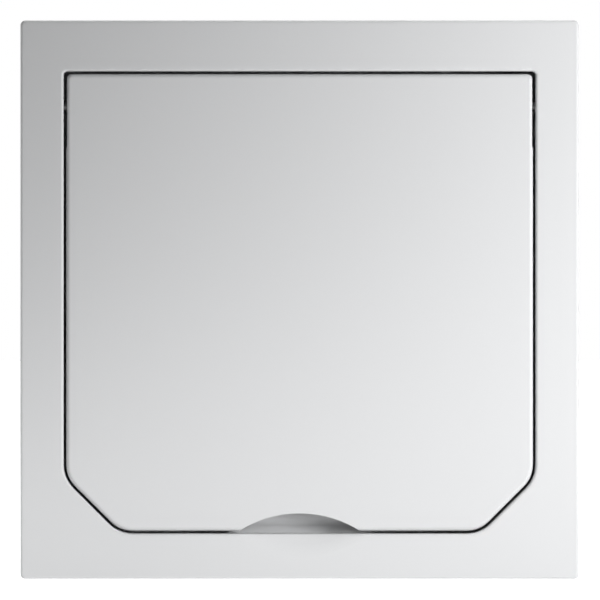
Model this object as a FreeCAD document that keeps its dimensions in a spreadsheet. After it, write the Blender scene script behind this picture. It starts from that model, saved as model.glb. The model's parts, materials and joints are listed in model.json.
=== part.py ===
# Flush socket outlet with a hinged, self-closing lid, as an assembly of separate solids.
# Millimetres, +Z up, front towards -Y. The origin lies on the wall plane, on the socket's axis.
# A depth is the distance in front of the wall plane, so depth = -Y.
import FreeCAD
import Part
import Sketcher
import math
import os
from types import SimpleNamespace

SIZES = [
    ("plate_side", 70.5, "outer side of the square cover plate"),
    ("plate_front", 12.0, "depth of the front face of plate and lid"),
    ("plate_wall", 2.0, "front wall and skirt of the plate"),
    ("plate_corner_radius", 0.6, "outer corners of the plate"),
    ("plate_edge_radius", 0.35, "rounding of the plate's front edges"),
    ("side_border", 5.45, "plate to each side of the lid opening"),
    ("opening_top", 28.84, "upper edge of the opening above the axis"),
    ("opening_bottom", 29.52, "lower edge of the opening below the axis"),
    ("opening_chamfer", 6.95, "legs of the cut lower corners"),
    ("opening_corner_radius", 4.2, "rounding of the cut lower corners"),
    ("opening_top_radius", 0.5, "rounding of the upper corners of the opening"),
    ("recess_depth", 7.0, "recess floor behind the front face"),
    ("recess_wall", 1.5, "side walls of the recess tub"),
    ("recess_floor", 1.4, "floor of the recess tub"),
    ("undercut_rise", 0.6, "room above the opening's edge for the swinging lid"),
    ("undercut_lip", 1.0, "front lip left above the undercut"),
    ("dish_height", 2.2, "finger dish below the opening"),
    ("dish_sphere_radius", 50.0, "sphere that hollows the finger dish"),
    ("dish_rim_radius", 5.0, "soft rim of the finger dish"),
    ("ramp_run", 1.15, "foot of the slope behind the finger notch"),
    ("ramp_width", 18.0, "width of that slope"),
    ("ramp_gap", 0.3, "slope below the back of the lid"),
    ("scoop_clearance", 2.0, "finger scoop behind the back of the lid"),
    ("scoop_height", 5.0, "finger scoop above the opening's lower edge"),
    ("scoop_radius", 0.9, "hollow at the foot of the slope and rounding of the scoop's upper edge"),
    ("plate_rib", 1.2, "stiffening ribs between tub and skirt"),
    ("plate_rib_offset", 14.0, "rib distance from the middle of each side"),
    ("lid_rest_offset", 20.0, "lid rests to each side of the middle"),
    ("lid_rest_width", 2.0, "width of a lid rest"),
    ("lid_rest_height", 1.3, "height of a lid rest"),
    ("lid_rest_gap", 0.05, "closed lid above its rests"),
    ("lid_gap", 0.35, "gap round the lid"),
    ("lid_thickness", 2.6, "thickness of the lid"),
    ("lid_edge_radius", 0.5, "rounding of the lid's front edges"),
    ("lid_corner_radius", 0.8, "upper corners of the lid"),
    ("lid_relief", 0.1, "wider side gap beside the hinge"),
    ("lid_relief_height", 9.3, "length of that wider gap"),
    ("lid_rib_inset", 1.5, "lid edge to the stiffening rib behind it"),
    ("lid_rib_wall", 1.2, "width of the stiffening rib"),
    ("lid_rib_height", 1.2, "height of the stiffening rib"),
    ("lid_rib_end", 6.0, "upper end of the rib below the hinge axis"),
    ("notch_radius", 14.26, "finger notch in the lid's lower edge"),
    ("notch_height", 2.2, "height of the finger notch"),
    ("notch_web", 0.6, "lid between notch and rib"),
    ("hinge_drop", 4.34, "hinge axis below the opening's upper edge"),
    ("hinge_depth", 2.1, "hinge axis behind the front face"),
    ("hinge_pin_radius", 0.7, "hinge pin"),
    ("hinge_pin_short", 0.1, "pin end inside the tub wall"),
    ("hinge_play", 0.05, "radial play of the hinge pin"),
    ("knuckle_radius", 1.5, "hinge barrels on the lid"),
    ("knuckle_inner", 7.0, "half length of the middle barrel"),
    ("spring_bay", 10.0, "length of each spring bay between barrels"),
    ("bay_radius", 1.55, "hollow of the lid round a spring"),
    ("lid_coil_radius", 0.98, "mean radius of the lid springs"),
    ("lid_wire", 0.35, "wire of the lid springs"),
    ("lid_coil_turns", 8.0, "turns of a lid spring"),
    ("lid_coil_pitch", 0.5, "pitch of the lid springs"),
    ("lid_leg", 2.8, "spring leg down the back of the lid"),
    ("floor_leg_fall", 0.325, "fall of the rearward spring leg per unit of depth"),
    ("floor_leg_tip", 0.3, "tip of that leg before the recess floor"),
    ("leg_gap", 0.05, "spring leg to the ledge or hook that it bears on"),
    ("ledge_width", 1.8, "ledge under the rearward spring leg"),
    ("ledge_height", 1.2, "height of the ledge"),
    ("ledge_reach", 1.4, "ledge before the recess floor"),
    ("hook_height", 1.0, "hook on the lid that holds the other leg"),
    ("hook_drop", 1.7, "hook below the hinge axis"),
    ("hook_post", 0.8, "post of the hook"),
    ("hook_lip", 0.6, "lip of the hook behind the leg"),
    ("well_radius", 19.9, "inside of the plug well"),
    ("well_wall", 1.4, "wall of the plug well"),
    ("well_rim", 2.2, "width of the well's front rim"),
    ("well_depth", 17.5, "floor behind the rim"),
    ("well_floor", 1.8, "floor thickness"),
    ("well_hole_gap", 0.2, "plate round the well"),
    ("rim_clearance", 0.5, "rim behind the lid"),
    ("rim_edge_radius", 0.5, "rounding of the rim"),
    ("boss_radius", 3.5, "boss that clamps the earth bracket and carries the shutter"),
    ("pin_spacing", 19.0, "distance between the plug pins"),
    ("pin_hole_radius", 2.75, "plug pin holes"),
    ("pin_lead_in", 0.6, "lead-in chamfer of the pin holes"),
    ("guide_depth", 2.3, "plug guide ribs inside the well wall"),
    ("guide_width", 5.2, "width of the guide ribs"),
    ("guide_drop", 3.4, "guide ribs behind the rim"),
    ("earth_slot_width", 6.4, "slots for the earth contacts"),
    ("earth_slot_relief", 0.6, "slot into the well wall"),
    ("earth_slot_drop", 2.6, "slot end behind the rim"),
    ("screw_radius", 1.75, "centre screw shank"),
    ("screw_head_radius", 3.3, "centre screw head"),
    ("screw_head_edge", 0.4, "straight edge of the screw head"),
    ("screw_reach", 6.0, "centre screw past the bracket"),
    ("screw_slot", 0.9, "width of every screw slot"),
    ("screw_slot_depth", 0.8, "depth of every screw slot"),
    ("screw_play", 0.05, "screw in its thread"),
    ("screw_clearance", 0.15, "screw through a plain hole"),
    ("ring_margin", 1.9, "ring outside the box-screw slots"),
    ("ring_thickness", 1.2, "sheet of the mounting ring"),
    ("ring_chamfer", 6.0, "corners of the mounting ring"),
    ("ring_corner_radius", 2.0, "rounding of those corners"),
    ("ring_gap", 1.4, "ring opening round the well"),
    ("box_spacing", 60.0, "distance between opposite box screws"),
    ("box_slot_length", 4.6, "box-screw slots, end to end"),
    ("box_slot_radius", 1.65, "half width of the box-screw slots"),
    ("leg_width", 14.0, "snap legs of the ring"),
    ("leg_length", 18.0, "snap legs behind the wall plane"),
    ("leg_clearance", 0.2, "snap legs beside ring opening and base"),
    ("leg_corner_radius", 2.0, "corners at the ends of the snap legs"),
    ("leg_window_width", 6.0, "window in a snap leg"),
    ("leg_window_length", 3.4, "length of that window"),
    ("leg_window_end", 1.5, "leg past its window"),
    ("lug_clearance", 0.15, "base lug in its window"),
    ("base_chamfer", 5.0, "corners of the contact base"),
    ("base_corner_radius", 1.5, "rounding of those corners"),
    ("parting", 0.25, "chamfers where base and rear cover meet"),
    ("shutter_thickness", 2.8, "thickness of the shutter"),
    ("shutter_clearance", 0.3, "shutter before and behind"),
    ("shutter_reach", 13.2, "shutter wings from the axis"),
    ("shutter_half_width", 3.6, "half width of the wings"),
    ("shutter_corner_radius", 1.0, "corners of the wings"),
    ("shutter_hub_radius", 5.2, "hub of the shutter"),
    ("shutter_play", 0.1, "hub on the well's boss"),
    ("shutter_pocket_gap", 0.9, "pocket round the shutter"),
    ("shutter_ramp_drop", 1.9, "depth of the ramps under the plug pins"),
    ("shutter_coil_radius", 0.95, "mean radius of the shutter spring"),
    ("shutter_wire", 0.3, "wire of the shutter spring"),
    ("shutter_coil_turns", 7.0, "turns of the shutter spring"),
    ("shutter_coil_offset", 5.4, "shutter spring beside the axis"),
    ("shutter_coil_gap", 0.15, "spring to wing and pocket"),
    ("bracket_gap", 0.4, "earth bracket behind the shutter pocket"),
    ("bracket_thickness", 1.2, "strap of the earth bracket"),
    ("bracket_half_width", 3.5, "half width of the crossbar"),
    ("bracket_channel_gap", 0.7, "channel beside the crossbar"),
    ("arm_half_width", 2.4, "half width of the earth contacts"),
    ("arm_inset", 0.7, "earth contacts inside the well wall"),
    ("arm_thickness", 0.9, "sheet of the earth contacts"),
    ("arm_straight", 5.6, "straight part of the earth contacts above the floor"),
    ("arm_bend", 4.0, "length of each bend of the earth contacts"),
    ("arm_bow", 2.0, "earth contacts bowed inwards"),
    ("arm_lip", 1.4, "lip of the earth contacts bent back"),
    ("arm_bend_radius", 1.2, "inner radius of their bends"),
    ("arm_gap", 0.4, "floor slot inside the bow"),
    ("contact_sheet", 0.8, "sheet of contacts and busbars"),
    ("contact_gap", 2.8, "half gap of a pin contact"),
    ("contact_neck", 2.2, "half gap at its neck"),
    ("contact_flare", 3.0, "half gap at its mouth"),
    ("contact_mouth", 2.6, "length of the mouth"),
    ("contact_taper", 3.0, "length of the taper to the neck"),
    ("contact_half_width", 3.2, "half width of the contact"),
    ("contact_bend_radius", 0.4, "inner radius of the bends of contact and busbar"),
    ("contact_seat", 0.1, "contact before the rear cover"),
    ("contact_tip_gap", 0.3, "mouth behind the guide wall"),
    ("guide_wall", 1.2, "base wall between shutter and contacts"),
    ("guide_hole_gap", 0.3, "guide holes round the plug pins"),
    ("chamber_gap", 0.7, "chamber beside a contact"),
    ("chamber_half_height", 5.0, "half height of a contact chamber"),
    ("terminal_wall", 3.1, "base between bracket and terminals"),
    ("terminal_low", 8.0, "lower wall of the terminal chambers"),
    ("terminal_high", 17.6, "upper wall of the terminal chambers"),
    ("terminal_half_width", 4.3, "half width of a terminal's free space"),
    ("terminal_offset", 11.2, "outer terminals from the axis"),
    ("busbar_seat", 0.4, "busbars below the upper chamber wall"),
    ("flag_margin", 4.0, "busbar before the rear cover"),
    ("flag_front_gap", 1.5, "busbar behind the chamber end"),
    ("clamp_sheet", 0.5, "spring strip of the clamps"),
    ("clamp_half_width", 3.4, "half width of the clamps"),
    ("clamp_seat", 0.1, "clamp above the lower chamber wall"),
    ("clamp_bend", 5.4, "bend of the clamp before the rear cover"),
    ("clamp_rise", 5.1, "leaf of the clamp along the wire"),
    ("clamp_tip", 2.0, "leaf tip behind the chamber end"),
    ("clamp_anchor", 0.7, "anchor leg behind the chamber end"),
    ("clamp_mouth", 0.3, "leaf tip below the busbar"),
    ("clamp_bend_radius", 0.5, "inner radius of the clamp's bend"),
    ("button_half_width", 3.0, "half width of a release button"),
    ("button_low", 9.9, "lower face of a release button"),
    ("button_height", 2.2, "height of a release button"),
    ("button_proud", 1.8, "button behind the rear cover"),
    ("button_shoulder", 0.5, "shoulder that keeps the button in"),
    ("button_shoulder_length", 1.0, "length of that shoulder"),
    ("button_seat", 0.1, "shoulder before the rear cover"),
    ("button_play", 0.35, "button before the clamp's leaf"),
    ("button_clearance", 0.15, "button in its slot"),
    ("button_edge", 0.3, "chamfer of a button's rear edges"),
    ("button_groove", 1.2, "tool groove across a button"),
    ("button_groove_depth", 0.6, "depth of that groove"),
    ("rear_cover_thickness", 1.6, "thickness of the rear cover"),
    ("rear_cover_edge_radius", 0.7, "rounding of the rear cover's outer edge"),
    ("barrier_width", 1.2, "barriers between the terminals"),
    ("barrier_height", 1.4, "barriers behind the rear cover"),
    ("barrier_edge_radius", 0.4, "rounding of the barriers"),
    ("wire_radius", 1.6, "wire entries"),
    ("wire_height", 14.3, "wire entries above the axis"),
    ("wire_spacing", 4.5, "distance between the two entries of a terminal"),
    ("wire_lead_in", 0.35, "lead-in chamfer of the wire entries"),
    ("cover_screw_x", 13.0, "rear cover screws beside the axis"),
    ("cover_screw_drop", 13.0, "rear cover screws below the axis"),
    ("cover_screw_radius", 1.2, "rear cover screws"),
    ("cover_screw_head", 2.3, "heads of the rear cover screws"),
    ("cover_screw_head_height", 1.5, "height of those heads"),
    ("cover_screw_length", 10.0, "rear cover screws into the base"),
    ("claw_web", 1.9, "claw screw from the ring opening"),
    ("claw_height", 6.6, "claws above or below the middle"),
    ("claw_half_width", 3.2, "half width of a claw"),
    ("claw_sheet", 1.2, "sheet of the claws"),
    ("claw_pivot_inset", 2.2, "claw pivot inside its screw"),
    ("claw_pivot_depth", 17.0, "claw pivot behind the wall plane"),
    ("claw_pivot_radius", 0.8, "trunnions of a claw"),
    ("claw_pivot_play", 0.05, "trunnion in its ear"),
    ("claw_arm", 3.0, "front flange before the pivot"),
    ("claw_flange", 5.9, "front flange out from the pivot"),
    ("claw_slot_inner", 1.7, "screw slot inside the screw's axis"),
    ("claw_slot_outer", 2.7, "screw slot outside the screw's axis"),
    ("claw_slot_half_height", 1.75, "half height of the screw slot"),
    ("claw_tail", 11.4, "rear flange behind the pivot"),
    ("claw_reach", 4.6, "rear flange out from the pivot"),
    ("claw_tooth", 1.1, "depth of the teeth"),
    ("claw_bend_radius", 1.3, "outer bends of a claw"),
    ("claw_base_gap", 1.8, "claw beside the base"),
    ("claw_screw_radius", 1.4, "claw screws"),
    ("claw_screw_head", 2.9, "heads of the claw screws"),
    ("claw_screw_head_height", 1.9, "height of those heads"),
    ("claw_screw_reach", 1.7, "claw screw past the flange"),
    ("ear_thickness", 1.5, "ears that carry a claw"),
    ("ear_gap", 0.3, "ear beside a claw"),
    ("ear_margin", 1.6, "ear round the pivot"),
    ("ear_corner_radius", 1.2, "rounding of the ears"),
    ("bite", 0.2, "overlap of joined features"),
]

doc = FreeCAD.newDocument("socket_outlet")
sheet = doc.addObject("Spreadsheet::Sheet", "sizes")
for row, (alias, number, meaning) in enumerate(SIZES, start=1):
    sheet.set(f"A{row}", meaning)
    sheet.set(f"B{row}", str(number))
    sheet.setAlias(f"B{row}", alias)
doc.recompute()


class Size:
    """A length with the formula that ties it to the sheet and its present value."""

    def __init__(self, formula, value):
        self.formula = formula
        self.value = float(value)

    def __add__(self, other):
        other = as_size(other)
        return Size(f"({self.formula} + {other.formula})", self.value + other.value)

    def __sub__(self, other):
        other = as_size(other)
        return Size(f"({self.formula} - {other.formula})", self.value - other.value)

    def __mul__(self, other):
        other = as_size(other)
        return Size(f"({self.formula} * {other.formula})", self.value * other.value)

    def __truediv__(self, other):
        other = as_size(other)
        return Size(f"({self.formula} / {other.formula})", self.value / other.value)

    def __neg__(self):
        return Size(f"(0 - {self.formula})", -self.value)


def as_size(number):
    if isinstance(number, Size):
        return number
    return Size(repr(float(number)), number)


def root(size):
    return Size(f"sqrt({size.formula})", math.sqrt(size.value))


dim = SimpleNamespace(**{name: Size(f"sizes.{name}", sheet.get(name)) for name, _, _ in SIZES})
ZERO = as_size(0)

# Depths that several pieces share, from front to rear.
lid_rear = dim.plate_front - dim.lid_thickness
recess_front = dim.plate_front - dim.recess_depth
hinge_level = dim.plate_front - dim.hinge_depth
hinge_height = dim.opening_top - dim.hinge_drop
rim_front = lid_rear - dim.rim_clearance
well_floor_front = rim_front - dim.well_depth
base_front = well_floor_front - dim.well_floor
shutter_front = base_front - dim.shutter_clearance
shutter_rear = shutter_front - dim.shutter_thickness
shutter_pocket_rear = shutter_rear - dim.shutter_clearance
chamber_front = shutter_pocket_rear - dim.guide_wall
bracket_front = shutter_pocket_rear - dim.bracket_gap
bracket_rear = bracket_front - dim.bracket_thickness
terminal_front = bracket_rear - dim.terminal_wall
base_rear = terminal_front - dim.clamp_tip - dim.clamp_rise - dim.clamp_bend
cover_rear = base_rear - dim.rear_cover_thickness
flag_front = terminal_front - dim.flag_front_gap
flag_rear = base_rear + dim.flag_margin

# Radii, heights and offsets that several pieces share.
opening_half = dim.plate_side / 2 - dim.side_border
well_outer = dim.well_radius + dim.well_wall
ring_opening = well_outer + dim.ring_gap
claw_screw_x = ring_opening + dim.claw_web
claw_pivot_x = claw_screw_x - dim.claw_pivot_inset
base_half_width = claw_pivot_x - dim.claw_sheet / 2 - dim.claw_base_gap
leg_inner = ring_opening + dim.leg_clearance
leg_outer = leg_inner + dim.ring_thickness
base_half_height = leg_inner - dim.leg_clearance
arm_outer = dim.well_radius - dim.arm_inset
busbar_top = dim.terminal_high - dim.busbar_seat
busbar_low = busbar_top - dim.contact_sheet
shutter_tip = root(dim.shutter_reach * dim.shutter_reach + dim.shutter_half_width * dim.shutter_half_width)
shutter_pocket = shutter_tip + dim.shutter_pocket_gap
pin_x = dim.pin_spacing / 2
flag_inner = pin_x - dim.contact_gap - dim.contact_sheet
clamp_low = dim.terminal_low + dim.clamp_seat
clamp_high = busbar_low - dim.clamp_mouth
clamp_rear = base_rear + dim.clamp_bend
clamp_slope = dim.clamp_rise / (clamp_high - clamp_low)
button_front = clamp_rear + clamp_slope * (dim.button_low - clamp_low) - dim.button_play
claw_flange_rear = -dim.claw_pivot_depth + dim.claw_arm - dim.claw_sheet / 2
claw_flange_front = claw_flange_rear + dim.claw_sheet
coil_half = dim.lid_coil_turns * dim.lid_coil_pitch / 2
coil_inner = dim.knuckle_inner + dim.spring_bay / 2 - coil_half
coil_outer = coil_inner + coil_half * 2
leg_stretch = root(dim.floor_leg_fall * dim.floor_leg_fall + as_size(1))
floor_leg_end = hinge_level - recess_front - dim.floor_leg_tip

# Each plane: its role in a body's origin, and the sign of the two drawn coordinates.
# front takes (x, z), side takes (depth, z), top takes (x, depth).
PLANES = {"front": ("XZ_Plane", 1, 1), "side": ("YZ_Plane", -1, 1), "top": ("XY_Plane", 1, -1)}
LIMIT = 1e-4


def polygon(*points):
    return ("polygon", [(as_size(u), as_size(v)) for u, v in points])


def rectangle(u_low, u_high, v_low, v_high):
    return polygon((u_low, v_low), (u_high, v_low), (u_high, v_high), (u_low, v_high))


def circle(u, v, radius):
    return ("circle", (as_size(u), as_size(v)), radius)


def slot(u_start, v_start, u_end, v_end, radius):
    return ("slot", [(as_size(u_start), as_size(v_start)), (as_size(u_end), as_size(v_end))], radius)


def place_point(sketch, geometry, position, u, v):
    """Ties one point of the sketch to its two coordinates."""
    for kind, size in (("DistanceX", u), ("DistanceY", v)):
        index = sketch.addConstraint(Sketcher.Constraint(kind, -1, 1, geometry, position, size.value))
        sketch.setExpression(f"Constraints[{index}]", size.formula)


def set_radius(sketch, geometry, radius):
    index = sketch.addConstraint(Sketcher.Constraint("Radius", geometry, radius.value))
    sketch.setExpression(f"Constraints[{index}]", radius.formula)


def vector(u, v):
    return FreeCAD.Vector(u.value, v.value, 0)


def draw_polygon(sketch, points):
    count = len(points)
    lines = []
    for index in range(count):
        following = points[(index + 1) % count]
        lines.append(sketch.addGeometry(Part.LineSegment(vector(*points[index]), vector(*following)), False))
    for index in range(count):
        following = lines[(index + 1) % count]
        sketch.addConstraint(Sketcher.Constraint("Coincident", lines[index], 2, following, 1))
    for line, (u, v) in zip(lines, points):
        place_point(sketch, line, 1, u, v)


def draw_circle(sketch, centre, radius):
    normal = FreeCAD.Vector(0, 0, 1)
    index = sketch.addGeometry(Part.Circle(vector(*centre), normal, radius.value), False)
    place_point(sketch, index, 3, *centre)
    set_radius(sketch, index, radius)


def draw_slot(sketch, ends, radius):
    """Two half circles joined by two tangent lines."""
    start, end = (vector(*point) for point in ends)
    heading = math.atan2(end.y - start.y, end.x - start.x)
    normal = FreeCAD.Vector(0, 0, 1)
    arcs = []
    for centre, turn in ((end, heading - math.pi / 2), (start, heading + math.pi / 2)):
        arc = Part.ArcOfCircle(Part.Circle(centre, normal, radius.value), turn, turn + math.pi)
        arcs.append(sketch.addGeometry(arc, False))
    for first, second in ((0, 1), (1, 0)):
        line_start = sketch.getPoint(arcs[first], 2)
        line_end = sketch.getPoint(arcs[second], 1)
        line = sketch.addGeometry(Part.LineSegment(line_start, line_end), False)
        sketch.addConstraint(Sketcher.Constraint("Tangent", arcs[first], 2, line, 1))
        sketch.addConstraint(Sketcher.Constraint("Tangent", line, 2, arcs[second], 1))
    for arc, point in zip(arcs, (ends[1], ends[0])):
        place_point(sketch, arc, 3, *point)
        set_radius(sketch, arc, radius)


DRAW = {"polygon": draw_polygon, "circle": draw_circle, "slot": draw_slot}


def turned(loop, u_sign, v_sign):
    """The loop in the sketch's own coordinates."""
    kind, shape = loop[0], loop[1]

    def turn(point):
        u, v = point
        return (u if u_sign > 0 else -u, v if v_sign > 0 else -v)

    points = [turn(point) for point in shape] if isinstance(shape, list) else turn(shape)
    return (kind, points, *loop[2:])


class Piece:
    """One solid of the outlet, built feature by feature in a body of its own."""

    def __init__(self, name):
        self.name = name
        self.body = doc.addObject("PartDesign::Body", name)
        self.body.Label = name

    def origin(self, role):
        return next(item for item in self.body.Origin.OriginFeatures if item.Role == role)

    def sketch(self, name, plane, loops, offset):
        role, u_sign, v_sign = PLANES[plane]
        sketch = self.body.newObject("Sketcher::SketchObject", f"{self.name}_{name}_sketch")
        sketch.AttachmentSupport = [(self.origin(role), "")]
        sketch.MapMode = "FlatFace"
        sketch.setExpression("AttachmentOffset.Base.z", as_size(offset).formula)
        for loop in loops:
            kind, *shape = turned(loop, u_sign, v_sign)
            DRAW[kind](sketch, *shape)
        return sketch

    def extrude(self, kind, name, sketch, length):
        feature = self.body.newObject(kind, f"{self.name}_{name}")
        feature.Profile = sketch
        feature.setExpression("Length", length.formula)
        doc.recompute()
        return feature

    def block(self, name, plane, loops, low, high):
        """Adds material from low to high along the plane's normal."""
        low, high = as_size(low), as_size(high)
        sketch = self.sketch(name, plane, loops, low)
        return self.extrude("PartDesign::Pad", name, sketch, high - low)

    def cut(self, name, plane, loops, low, high):
        """Removes material from low to high along the plane's normal."""
        low, high = as_size(low), as_size(high)
        before = self.body.Shape.Volume
        sketch = self.sketch(name, plane, loops, high)
        feature = self.extrude("PartDesign::Pocket", name, sketch, high - low)
        if not feature.Shape.Volume < before:
            raise RuntimeError(f"{self.name}: {name} removes nothing")
        return feature

    def revolve(self, name, points):
        """Turns a profile of (radius, depth) points about the socket's axis."""
        sketch = self.sketch(name, "top", [polygon(*points)], 0)
        feature = self.body.newObject("PartDesign::Revolution", f"{self.name}_{name}")
        feature.Profile = sketch
        feature.ReferenceAxis = (self.origin("Y_Axis"), [""])
        feature.Angle = 360
        doc.recompute()
        return feature

    def dress(self, kind, name, parameter, size, chosen):
        tip = self.body.Tip
        edges = tip.Shape.Edges
        names = [f"Edge{number}" for number, edge in enumerate(edges, start=1) if chosen(edge)]
        if not names:
            raise RuntimeError(f"{self.name}: {name} finds no edge")
        feature = self.body.newObject(kind, f"{self.name}_{name}")
        feature.Base = (tip, names)
        feature.setExpression(parameter, as_size(size).formula)
        doc.recompute()
        return feature

    def fillet(self, name, radius, chosen):
        return self.dress("PartDesign::Fillet", name, "Radius", radius, chosen)

    def chamfer(self, name, size, chosen):
        return self.dress("PartDesign::Chamfer", name, "Size", size, chosen)


def middle(edge):
    return edge.valueAt((edge.FirstParameter + edge.LastParameter) / 2)


def at_depth(depth):
    """Chooses the edges that lie at one depth."""
    level = -depth.value

    def chosen(edge):
        points = [vertex.Point for vertex in edge.Vertexes] + [middle(edge)]
        return all(abs(point.y - level) < LIMIT for point in points)

    return chosen


def at_height(height, rear):
    """Chooses the edges that lie at one height, in front of a depth."""

    def chosen(edge):
        points = [vertex.Point for vertex in edge.Vertexes] + [middle(edge)]
        return all(abs(point.z - height.value) < LIMIT and -point.y > rear.value for point in points)

    return chosen


def along(axis, *spots):
    """Chooses straight edges along an axis that pass through the given (u, v) spots."""
    first, second = {"x": ("y", "z"), "y": ("x", "z"), "z": ("x", "y")}[axis]
    targets = [(u.value, v.value) for u, v in spots]

    def chosen(edge):
        points = [vertex.Point for vertex in edge.Vertexes] + [middle(edge)]
        for u, v in targets:
            if all(math.hypot(getattr(p, first) - u, getattr(p, second) - v) < LIMIT for p in points):
                return True
        return False

    return chosen


def both(*tests):
    return lambda edge: all(test(edge) for test in tests)


def on_circle(radius, *centres):
    """Chooses round edges of one radius about the given (x, z) centres."""
    targets = [(x.value, z.value) for x, z in centres]

    def chosen(edge):
        curve = edge.Curve
        if not isinstance(curve, Part.Circle) or abs(curve.Radius - radius.value) > LIMIT:
            return False
        return any(math.hypot(curve.Center.x - x, curve.Center.z - z) < LIMIT for x, z in targets)

    return chosen


def within(x_limit, z_limit):
    """Chooses edges whose middle lies inside a centred rectangle of half sizes."""
    return lambda edge: abs(middle(edge).x) < x_limit.value and abs(middle(edge).z) < z_limit.value


# Outline of the lid opening, moved outwards by a distance, with its lower corners cut.
OFFSET_LEG = 2 - math.sqrt(2)


def opening_outline(outward):
    side = opening_half + outward
    top = dim.opening_top + outward
    bottom = -dim.opening_bottom - outward
    leg = dim.opening_chamfer + as_size(OFFSET_LEG) * outward
    points = [
        (-side, top),
        (side, top),
        (side, bottom + leg),
        (side - leg, bottom),
        (-side + leg, bottom),
        (-side, bottom + leg),
    ]
    return points


def octagon(half_width, half_height, leg):
    return polygon(
        (-half_width + leg, -half_height),
        (half_width - leg, -half_height),
        (half_width, -half_height + leg),
        (half_width, half_height - leg),
        (half_width - leg, half_height),
        (-half_width + leg, half_height),
        (-half_width, half_height - leg),
        (-half_width, -half_height + leg),
    )


def mirrored_pairs(x, z):
    return [(x, z), (-x, z)]


def make_cover_plate():
    piece = Piece("cover_plate")
    half = dim.plate_side / 2
    inner = half - dim.plate_wall
    wall_rear = dim.plate_front - dim.plate_wall
    tub_rear = recess_front - dim.recess_floor
    piece.block("shell", "front", [rectangle(-half, half, -half, half)], dim.ring_thickness, dim.plate_front)
    corners = [(sx, sz) for sx in (half, -half) for sz in (half, -half)]
    piece.fillet("corners", dim.plate_corner_radius, along("y", *corners))
    piece.fillet("front_edge", dim.plate_edge_radius, at_depth(dim.plate_front))
    hollow_finger_dish(piece)
    hollow = rectangle(-inner, inner, -inner, inner)
    piece.cut("underside", "front", [hollow], dim.ring_thickness, wall_rear)
    tub = opening_outline(dim.recess_wall)
    piece.block("tub", "front", [polygon(*tub)], tub_rear, wall_rear + dim.bite)
    piece.block("ribs", "front", plate_ribs(inner), tub_rear, wall_rear + dim.bite)

    outline = opening_outline(ZERO)
    piece.cut("opening", "front", [polygon(*outline)], recess_front, dim.plate_front)
    piece.fillet("cut_corners", dim.opening_corner_radius, along("y", *outline[2:]))
    piece.fillet("top_corners", dim.opening_top_radius, along("y", *outline[:2]))
    rim = both(at_depth(dim.plate_front), within(opening_half + dim.bite, dim.opening_bottom + dim.bite))
    dip = at_height(-dim.opening_bottom, wall_rear)
    piece.fillet("opening_edge", dim.plate_edge_radius, lambda edge: rim(edge) or dip(edge))
    undercut = rectangle(
        -opening_half, opening_half, dim.opening_top - dim.undercut_lip, dim.opening_top + dim.undercut_rise)
    piece.cut("undercut", "front", [undercut], recess_front, dim.plate_front - dim.undercut_lip)
    hole = circle(ZERO, ZERO, well_outer + dim.well_hole_gap)
    piece.cut("well_hole", "front", [hole], tub_rear, recess_front)

    foot = -dim.opening_bottom
    scoop_front = lid_rear - dim.scoop_clearance
    scoop = polygon(
        (recess_front - dim.bite, foot - dim.bite),
        (recess_front - dim.bite, foot + dim.scoop_height),
        (scoop_front, foot + dim.scoop_height),
        (scoop_front, foot + dim.ramp_run),
        (lid_rear - dim.ramp_gap, foot),
        (lid_rear - dim.ramp_gap, foot - dim.bite),
    )
    piece.block("finger_scoop", "side", [scoop], -dim.ramp_width / 2, dim.ramp_width / 2)
    scoop_edges = [(-scoop_front, foot + dim.ramp_run), (-scoop_front, foot + dim.scoop_height)]
    piece.fillet("scoop_edges", dim.scoop_radius, along("x", *scoop_edges))
    rests = []
    for x in (dim.lid_rest_offset, -dim.lid_rest_offset):
        low = foot + dim.lid_gap * 2
        reach = dim.lid_rest_width / 2
        rests.append(rectangle(x - reach, x + reach, low, low + dim.lid_rest_height))
    piece.block("lid_rests", "front", rests, recess_front - dim.bite, lid_rear - dim.lid_rest_gap)
    ledge_top = hinge_height - (dim.lid_coil_radius + dim.lid_wire / 2) * leg_stretch
    ledge_top = ledge_top - floor_leg_end * dim.floor_leg_fall - dim.leg_gap
    ledges = []
    for turn in (1, -1):
        inner = coil_outer * turn
        outer = (coil_outer + dim.ledge_width) * turn
        ledges.append(rectangle(inner, outer, ledge_top - dim.ledge_height, ledge_top))
    piece.block("spring_ledges", "front", ledges, recess_front - dim.bite, recess_front + dim.ledge_reach)
    pin_reach = opening_half + dim.recess_wall + dim.bite
    pin_hole = circle(hinge_level, hinge_height, dim.hinge_pin_radius + dim.hinge_play)
    piece.cut("hinge_holes", "side", [pin_hole], -pin_reach, pin_reach)


def plate_ribs(inner):
    """Short walls that tie the recess tub to the skirt, two on each side."""
    reach = dim.plate_rib / 2
    side = opening_half + dim.recess_wall - dim.bite
    top = dim.opening_top + dim.recess_wall - dim.bite
    bottom = -dim.opening_bottom - dim.recess_wall + dim.bite
    skirt = inner + dim.bite
    ribs = []
    for spot in (dim.plate_rib_offset, -dim.plate_rib_offset):
        low, high = spot - reach, spot + reach
        ribs.append(rectangle(low, high, top, skirt))
        ribs.append(rectangle(low, high, -skirt, bottom))
        ribs.append(rectangle(side, skirt, low, high))
        ribs.append(rectangle(-skirt, -side, low, high))
    return ribs


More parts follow.
